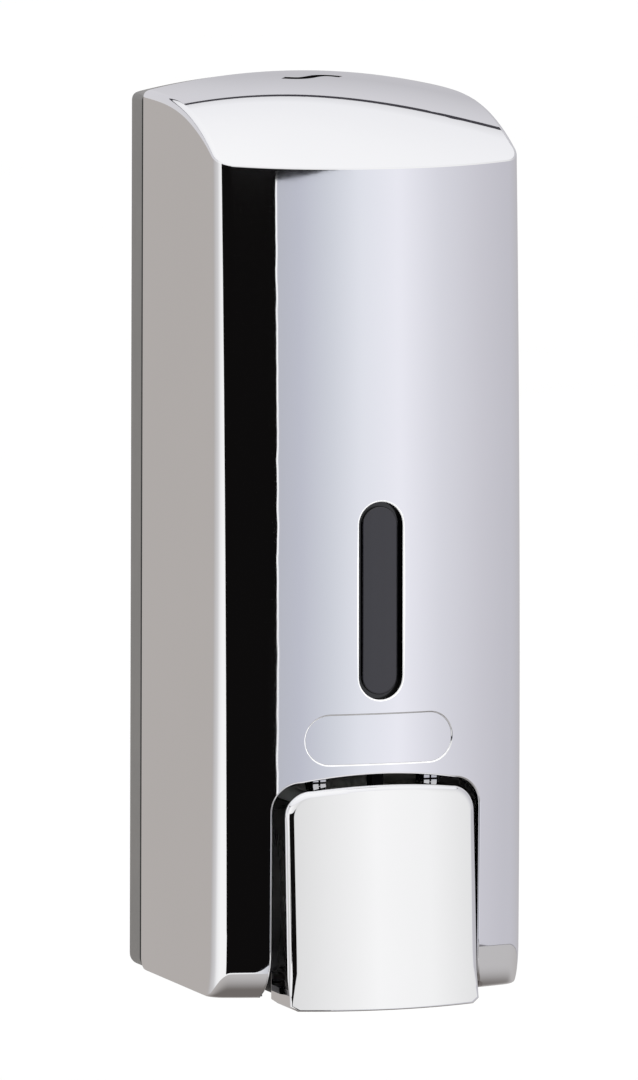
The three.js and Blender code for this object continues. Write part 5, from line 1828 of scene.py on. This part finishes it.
@dataclass(frozen=True)
class Coil:
    """A wire spring with closed ends, wound by Geometry Nodes."""

    node: str
    moving_body: str
    radius: float
    wire: float
    turns: float
    start: float
    end: float
    axis: Axis
    across: float
    winding_steps: int = 40
    ring_steps: int = 48
    wire_steps: int = 12

    def _group(self) -> bpy.types.GeometryNodeTree:
        """Makes the node group that winds the wire along +Z.

        Returns:
            The node group.
        """
        tree = bpy.data.node_groups.new(f"{self.node} winding", "GeometryNodeTree")
        tree.interface.new_socket("Geometry", in_out="INPUT", socket_type="NodeSocketGeometry")
        for name in ("Radius", "Wire", "Turns", "Length"):
            tree.interface.new_socket(name, in_out="INPUT", socket_type="NodeSocketFloat")
        tree.interface.new_socket("Geometry", in_out="OUTPUT", socket_type="NodeSocketGeometry")
        nodes = Nodes(tree)
        given = nodes.add("NodeGroupInput").outputs
        spiral = nodes.add("GeometryNodeCurveSpiral", {
            "Resolution": self.winding_steps, "Rotations": given["Turns"], "Start Radius": given["Radius"],
            "End Radius": given["Radius"], "Height": given["Length"],
        })
        circle = "GeometryNodeCurvePrimitiveCircle"
        ring = nodes.add(circle, {"Resolution": self.ring_steps, "Radius": given["Radius"]})
        lift = nodes.add("ShaderNodeCombineXYZ", {"Z": given["Length"]})
        ends = {"Geometry": ring.outputs[0], "Translation": lift.outputs[0]}
        far_ring = nodes.add("GeometryNodeTransform", ends)
        joined = nodes.add("GeometryNodeJoinGeometry")
        for source in (spiral, ring, far_ring):
            tree.links.new(source.outputs[0], joined.inputs[0])
        section = nodes.add(circle, {"Resolution": self.wire_steps, "Radius": given["Wire"]})
        swept = nodes.add("GeometryNodeCurveToMesh", {
            "Curve": joined.outputs[0], "Profile Curve": section.outputs[0], "Fill Caps": True,
        })
        real = nodes.add("GeometryNodeRealizeInstances", {0: swept.outputs[0]})
        inputs = {"Geometry": real.outputs[0], "Material": STEEL.material()}
        dressed = nodes.add("GeometryNodeSetMaterial", inputs)
        nodes.add("NodeGroupOutput", {0: dressed.outputs[0]})
        return tree

    def build(self) -> bpy.types.Object:
        """Makes the spring.

        Returns:
            The piece.
        """
        work = linked(self.node, bpy.data.meshes.new(self.node))
        winding = work.modifiers.new("winding", "NODES")
        winding.node_group = self._group()
        length = self.end - self.start - 2 * self.wire
        sizes = {"Radius": self.radius, "Wire": self.wire, "Length": length}
        for item in winding.node_group.interface.items_tree:
            if item.in_out == "INPUT" and item.name in sizes:
                winding[item.identifier] = sizes[item.name] * MILLIMETRE
            elif item.in_out == "INPUT" and item.name == "Turns":
                winding[item.identifier] = self.turns
        mesh = baked(work, self.node)
        smooth(mesh)
        foot = self.start + self.wire
        if self.axis is Axis.FORWARD:
            low, high = (0.0, self.start, self.across), (0.0, self.end, self.across)
            mesh.transform(Matrix((
                (1, 0, 0, 0), (0, 0, -1, -foot * MILLIMETRE),
                (0, 1, 0, (self.across - ORIGIN_HEIGHT) * MILLIMETRE), (0, 0, 0, 1),
            )))
        else:
            low, high = (0.0, self.across, self.start), (0.0, self.across, self.end)
            shift = (0, -self.across * MILLIMETRE, (foot - ORIGIN_HEIGHT) * MILLIMETRE)
            mesh.transform(Matrix.Translation(shift))
        obj = linked(f"{self.node}_wound", mesh)
        to_row(*low).tolist()
        to_row(*high).tolist()
        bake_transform(obj)
        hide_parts(self.node)
        LOG.info("%s: %d faces", obj.name, len(mesh.polygons))
        return obj


class InnerPieces:
    """Everything that is fixed or moves behind the cover."""

    PIECES: tuple[Refined, ...] = (
        Refined("pusher_pad", "lever", RUBBER, 0.3, 3),
        Refined("lever_axle", "cover", STEEL),
        Refined("axle_clip_left", "cover", STEEL, 0.08),
        Refined("axle_clip_right", "cover", STEEL, 0.08),
        Refined("hinge_pin_left", "back", STEEL),
        Refined("hinge_pin_right", "back", STEEL),
        Refined("soap_tank", "back", CLEAR, 0.5, 3),
        Refined("tank_lid", "lid", WHITE, 0.3, 3),
        Refined("lid_seal", "lid", RUBBER, 0.15),
        Refined("lid_hinge_pin", "back", STEEL, 0.1),
        Refined("neck_gasket", "back", RUBBER, 0.15),
        Refined("collar_nut", "back", WHITE),
        Refined("pump_body", "back", WHITE),
        Refined("pump_gland", "back", BLACK),
        Refined("piston_rod", "piston", WHITE),
        Refined("piston_seal", "piston", RUBBER, 0.15),
        Refined("plunger_button", "piston", BLACK, 0.3, 3),
        Refined("inlet_ball", "inlet_valve", STEEL, 0.05),
        Refined("outlet_valve", "back", RUBBER, 0.1),
        Refined("outlet_nozzle", "back", BLACK),
        Refined("pump_screw_left", "back", STEEL, 0.1),
        Refined("pump_screw_right", "back", STEEL, 0.1),
        Refined("latch_bracket", "back", BLACK),
        Refined("bracket_screw_left", "back", STEEL, 0.1),
        Refined("bracket_screw_right", "back", STEEL, 0.1),
        Refined("lock_latch", "latch", WHITE),
        Refined("latch_clip", "latch", STEEL, 0.08),
    )
    SPRINGS: tuple[Coil, ...] = (
        Coil(
            "pump_spring", "piston", radius=6.6, wire=0.55, turns=5.0, start=29.23, end=45.79,
            axis=Axis.FORWARD, across=30.0,
        ),
        Coil(
            "latch_spring", "latch", radius=3.6, wire=0.35, turns=2.5, start=204.72, end=208.4,
            axis=Axis.UP, across=24.5,
        ),
    )

    def build(self) -> None:
        """Makes them all."""
        for made in (*self.PIECES, *self.SPRINGS):
            made.build()


# Studio


@dataclass(frozen=True)
class MirroredRoom:
    """The cards, drapes and softboxes that the plating mirrors, by direction in degrees.

    Azimuth 0 is straight out from the wall, positive to the right; elevation 0 is level.
    """

    nodes: Nodes
    azimuth: Socket
    elevation: Socket
    horizon: Stops = (
        (-180, (178, 173, 170)), (-150, (180, 175, 172)), (-142, (180, 176, 174)), (-125, (194, 192, 193)),
        (-108, (208, 207, 208)), (-92, (240, 240, 241)), (-76, (250, 250, 250)), (-40, (250, 250, 250)),
        (-16, (244, 244, 245)), (-9.2, (188, 190, 199)), (-8, (188, 190, 200)), (-3, (193, 195, 207)),
        (5, (210, 213, 222)), (13.5, (229, 231, 239)), (24.5, (239, 239, 247)), (36.5, (219, 219, 227)),
        (49, (205, 204, 212)), (57.5, (197, 196, 204)), (80, (194, 193, 200)), (150, (187, 185, 188)),
    )
    upper: Stops = (
        (-180, (214, 213, 217)), (-130, (214, 213, 217)), (-105, (236, 236, 238)), (-83, (252, 252, 252)),
        (-60, (240, 240, 240)), (-30, (222, 222, 222)), (-10, (238, 238, 238)), (13, (252, 252, 252)),
        (40, (248, 248, 248)), (60, (234, 234, 234)), (76, (222, 222, 224)), (110, (194, 193, 198)),
        (163, (194, 193, 198)), (167, (214, 213, 217)), (180, (214, 213, 217)),
    )
    ground: Stops = (
        (-180, (168, 163, 159)), (-90, (182, 178, 176)), (-30, (190, 187, 186)), (0, (196, 194, 195)),
        (60, (190, 188, 189)), (180, (176, 172, 170)),
    )
    overhead: Stops = (
        (0, (226, 226, 229)), (4.8, (243, 243, 246)), (20, (249, 249, 251)), (40, (254, 254, 255)),
    )
    deep_ground: Rgb = (112, 107, 104)
    ground_edge: Rgb = (120, 118, 122)
    bright_edge: Rgb = (250, 250, 252)
    black_card: Rgb = (14, 13, 13)
    crease_line: Rgb = (16, 15, 16)
    under_softbox: Rgb = (213, 212, 217)
    softbox_edge: Rgb = (66, 64, 70)
    dimming: Pair = (-62, -26)
    step: Pair = (-9.4, -9.3)
    step_heights: Pair = (-29.6, -11.4)
    step_end: float = -9.0
    edge_half: float = 0.12
    waves: float = 0.45
    sway: float = 0.16
    bright_line: Pair = (-9.1, 0.24)
    bright_low: float = -12.0
    card_right: float = -9.35
    card_left: Pair = (-41, -88)
    card_rise: Pair = (-10.5, 0)
    card_foot: float = -28.0
    card_corner: Pair = (15.0, 0.48)
    crease_span: Pair = (-9, 12)
    crease_low: Pair = (-0.27, -0.08)
    upper_from: float = 0.1
    side_card: Pair = (-80.5, -31.5)
    side_card_middle: float = 5.0
    softbox_heights: Pair = (27.0, 41.5)
    softbox_fall: Pair = (137.0, 0.0135)
    softbox_near: Pair = (-22, -3)
    softbox_border: float = -1.7
    behind: float = 95.0

    def tones(self) -> Socket:
        """Paints the room from the ground up.

        Returns:
            The colour in each direction.
        """
        room = self._level()
        for add in (self._card, self._crease_line, self._upper, self._softbox):
            room = add(room)
        return room

    def _round(self, stops: Stops) -> Socket:
        """A row of tones by azimuth."""
        return self.nodes.ramp(self.azimuth, stops, -180, 180)

    def _over(self, value: object, limit: object) -> Socket:
        """1 where a value is over a limit, else 0."""
        return self.nodes.math("GREATER_THAN", value, limit)

    def _under(self, value: object, limit: object) -> Socket:
        """1 where a value is under a limit, else 0."""
        return self.nodes.math("LESS_THAN", value, limit)

    def _level(self) -> Socket:
        """The ground, the horizon over it and the thin edge between them on the right.

        Returns:
            The colour.
        """
        nodes, elevation = self.nodes, self.elevation
        line = nodes.span(self.azimuth, self.step, self.step_heights)
        dim = nodes.span(elevation, self.dimming, (1, 0), True)
        ground = nodes.mix(dim, self._round(self.ground), linear(*self.deep_ground))
        room = nodes.mix(self._over(elevation, line), ground, self._round(self.horizon))
        edge = nodes.math("COMPARE", elevation, nodes.math("ADD", line, self.edge_half), self.edge_half)
        edge = nodes.product(edge, self._over(self.azimuth, self.step_end))
        return nodes.mix(edge, room, linear(*self.ground_edge))

    def _card(self, room: Socket) -> Socket:
        """Adds the black card with its waved right edge, rounded foot and bright line.

        Args:
            room: The colour so far.

        Returns:
            The new colour.
        """
        nodes, elevation = self.nodes, self.elevation
        place = nodes.product(elevation, self.waves)
        wave = nodes.add("ShaderNodeTexNoise", {"W": place}, noise_dimensions="1D")
        sway = nodes.span(wave.outputs[0], (0.3, 0.7), (-self.sway, self.sway))
        wavy = nodes.math("ADD", self.azimuth, sway)
        line = nodes.math("COMPARE", wavy, *self.bright_line)
        line = nodes.product(line, self._over(elevation, self.bright_low))
        room = nodes.mix(line, room, linear(*self.bright_edge))
        reach, steepness = self.card_corner
        near = nodes.math("MAXIMUM", nodes.math("ADD", wavy, reach), 0.0)
        foot = nodes.product(nodes.math("POWER", near, 2.0), steepness)
        foot = nodes.math("ADD", foot, self.card_foot)
        left = nodes.span(elevation, self.card_rise, self.card_left)
        card = nodes.product(
            self._under(wavy, self.card_right), self._over(self.azimuth, left), self._over(elevation, foot)
        )
        return nodes.mix(card, room, linear(*self.black_card))

    def _crease_line(self, room: Socket) -> Socket:
        """Adds the dark line that the crease under the top mirrors.

        Args:
            room: The colour so far.

        Returns:
            The new colour.
        """
        low = self.nodes.span(self.azimuth, self.crease_span, self.crease_low)
        line = self.nodes.product(
            self._over(self.elevation, low), self._under(self.azimuth, self.crease_span[1]),
            self._over(self.azimuth, self.side_card[0]),
        )
        return self.nodes.mix(line, room, linear(*self.crease_line))

    def _upper(self, room: Socket) -> Socket:
        """Adds the upper drapes and the black side card before them.

        Args:
            room: The colour so far.

        Returns:
            The new colour.
        """
        nodes, middle = self.nodes, self.side_card_middle
        room = nodes.mix(self._over(self.elevation, self.upper_from), room, self._round(self.upper))
        left, right = self.side_card
        card = nodes.product(
            self._under(self.azimuth, right), self._over(self.azimuth, left),
            nodes.math("COMPARE", self.elevation, middle, middle),
        )
        return nodes.mix(card, room, linear(*self.black_card))

    def _softbox(self, room: Socket) -> Socket:
        """Adds the softbox overhead, whose lower edge falls and is dark behind the object.

        Args:
            room: The colour so far.

        Returns:
            The new colour.
        """
        nodes, azimuth = self.nodes, self.azimuth
        start, steepness = self.softbox_fall
        lowest, highest = self.softbox_heights
        turned = nodes.math("ADD", azimuth, nodes.product(self._under(azimuth, 0.0), 360.0))
        past = nodes.math("MAXIMUM", nodes.math("SUBTRACT", turned, start), 0.0)
        fall = nodes.product(nodes.math("POWER", past, 2.0), steepness)
        line = nodes.math("MAXIMUM", nodes.math("SUBTRACT", highest, fall), lowest)
        above = nodes.math("SUBTRACT", self.elevation, line)
        behind = self._over(nodes.math("ABSOLUTE", azimuth), self.behind)
        near = nodes.product(behind, nodes.span(above, self.softbox_near, (0, 1)))
        room = nodes.mix(near, room, linear(*self.under_softbox))
        border = nodes.product(self._over(above, self.softbox_border), behind)
        room = nodes.mix(border, room, linear(*self.softbox_edge))
        return nodes.mix(self._over(above, 0.0), room, nodes.ramp(above, self.overhead, 0, 40))


@dataclass(frozen=True)
class Studio:
    """Camera, lamp, floor and the surroundings that the plating mirrors. Places are metres."""

    camera_place: Triple = (-0.8078, -2.3940, 0.2390)
    camera_aim: Triple = (0.3218, 0.9418, -0.09668)
    lens: float = 334.1
    sensor: float = 36.0
    clip: Pair = (0.05, 100.0)
    floor_height: float = -0.40
    floor_half: float = 30.0
    floor_tone: Rgb = (248, 248, 248)
    glow_far: float = 0.155
    glow_fall: float = 0.24
    lamp_place: Triple = (1.6, -2.4, 2.4)
    lamp_size: float = 1.2
    lamp_power: float = 60.0
    plain_tone: Rgb = (205, 204, 202)
    plain_heights: Pair = (-20, 50)
    white: Rgb = (255, 255, 255)

    @staticmethod
    def _aim(obj: bpy.types.Object, place: Triple, direction: Vector) -> None:
        """Puts a camera or lamp at a place and points it along a direction.

        Args:
            obj: The camera or lamp.
            place: The place.
            direction: The direction.
        """
        obj.location = place
        obj.rotation_mode = "QUATERNION"
        obj.rotation_quaternion = direction.to_track_quat("-Z", "Y")

    def camera(self) -> None:
        """Sets the camera at the photograph's angle."""
        data = bpy.data.cameras.new("camera")
        data.sensor_width = self.sensor
        data.lens = self.lens
        data.clip_start, data.clip_end = self.clip
        obj = linked("camera", data)
        self._aim(obj, self.camera_place, Vector(self.camera_aim))
        bpy.context.scene.camera = obj

    def floor(self) -> None:
        """Lays the pale floor, which whitens away from the object and keeps its shadow."""
        half, height = self.floor_half, self.floor_height
        mesh = bpy.data.meshes.new("floor")
        corners = [(-half, -half, height), (half, -half, height), (half, half, height), (-half, half, height)]
        mesh.from_pydata(corners, [], [(0, 1, 2, 3)])
        material = bpy.data.materials.new("pale floor")
        nodes = Nodes.of(material)
        tone = nodes.tones(nodes.noise(Noise(3)), self.floor_tone, 5, 0)
        diffuse = nodes.add("ShaderNodeBsdfDiffuse", {"Color": tone})
        place = nodes.add("ShaderNodeTexCoord").outputs["Object"]
        away = nodes.add("ShaderNodeVectorMath", {0: place}, operation="LENGTH").outputs["Value"]
        lift = nodes.math("SUBTRACT", self.glow_far, nodes.math("DIVIDE", self.glow_fall, away))
        seen = nodes.add("ShaderNodeLightPath").outputs["Is Camera Ray"]
        lift = nodes.product(nodes.math("MAXIMUM", lift, 0.0), seen)
        glow = nodes.add("ShaderNodeEmission", {"Color": linear(*self.white), "Strength": lift})
        both = nodes.add("ShaderNodeAddShader", {0: diffuse.outputs[0], 1: glow.outputs[0]})
        nodes.add("ShaderNodeOutputMaterial", {0: both.outputs[0]})
        mesh.materials.append(material)
        obj = linked("floor", mesh)
        obj.visible_glossy = False

    def lamp(self) -> None:
        """Hangs the square key lamp, which points at the object and isn't mirrored in it."""
        data = bpy.data.lights.new("key lamp", "AREA")
        data.size = self.lamp_size
        data.energy = self.lamp_power
        obj = linked("key lamp", data)
        self._aim(obj, self.lamp_place, -Vector(self.lamp_place))
        obj.visible_glossy = False

    def surroundings(self) -> None:
        """Paints the studio: white to the camera, plain to matt faces, the mirrored room to the plating."""
        world = bpy.data.worlds.new("studio")
        bpy.context.scene.world = world
        nodes = Nodes.of(world)
        place = nodes.add("ShaderNodeTexCoord").outputs["Generated"]
        split = nodes.add("ShaderNodeSeparateXYZ", {0: place}).outputs
        azimuth = nodes.math("DEGREES", nodes.math("ARCTAN2", split[0], nodes.product(split[1], -1.0)))
        elevation = nodes.math("DEGREES", nodes.math("ARCSINE", split[2]))
        mirrored = MirroredRoom(nodes, azimuth, elevation).tones()
        height = nodes.span(elevation, self.plain_heights, (0, 1), True)
        plain = nodes.mix(height, linear(*self.plain_tone), linear(*self.white))
        path = nodes.add("ShaderNodeLightPath").outputs
        lit = nodes.mix(path["Is Glossy Ray"], plain, mirrored)
        seen = nodes.mix(path["Is Camera Ray"], lit, linear(*self.white))
        background = nodes.add("ShaderNodeBackground", {"Color": seen})
        nodes.add("ShaderNodeOutputWorld", {0: background.outputs[0]})

    def build(self) -> None:
        """Sets up the whole studio."""
        self.camera()
        self.floor()
        self.surroundings()
        self.lamp()
        bpy.context.scene.view_settings.view_transform = "Standard"


def main() -> None:
    """Builds the dressed dispenser and its studio."""
    logging.basicConfig(level=logging.INFO, format="%(message)s")
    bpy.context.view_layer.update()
    cover = FrontCover()
    cover.build()
    faces = FacePieces(cover)
    faces.lens()
    faces.name_plate()
    PushLever().build()
    BackPlate().build()
    InnerPieces().build()
    Studio().build()


if __name__ == "__main__":
    main()
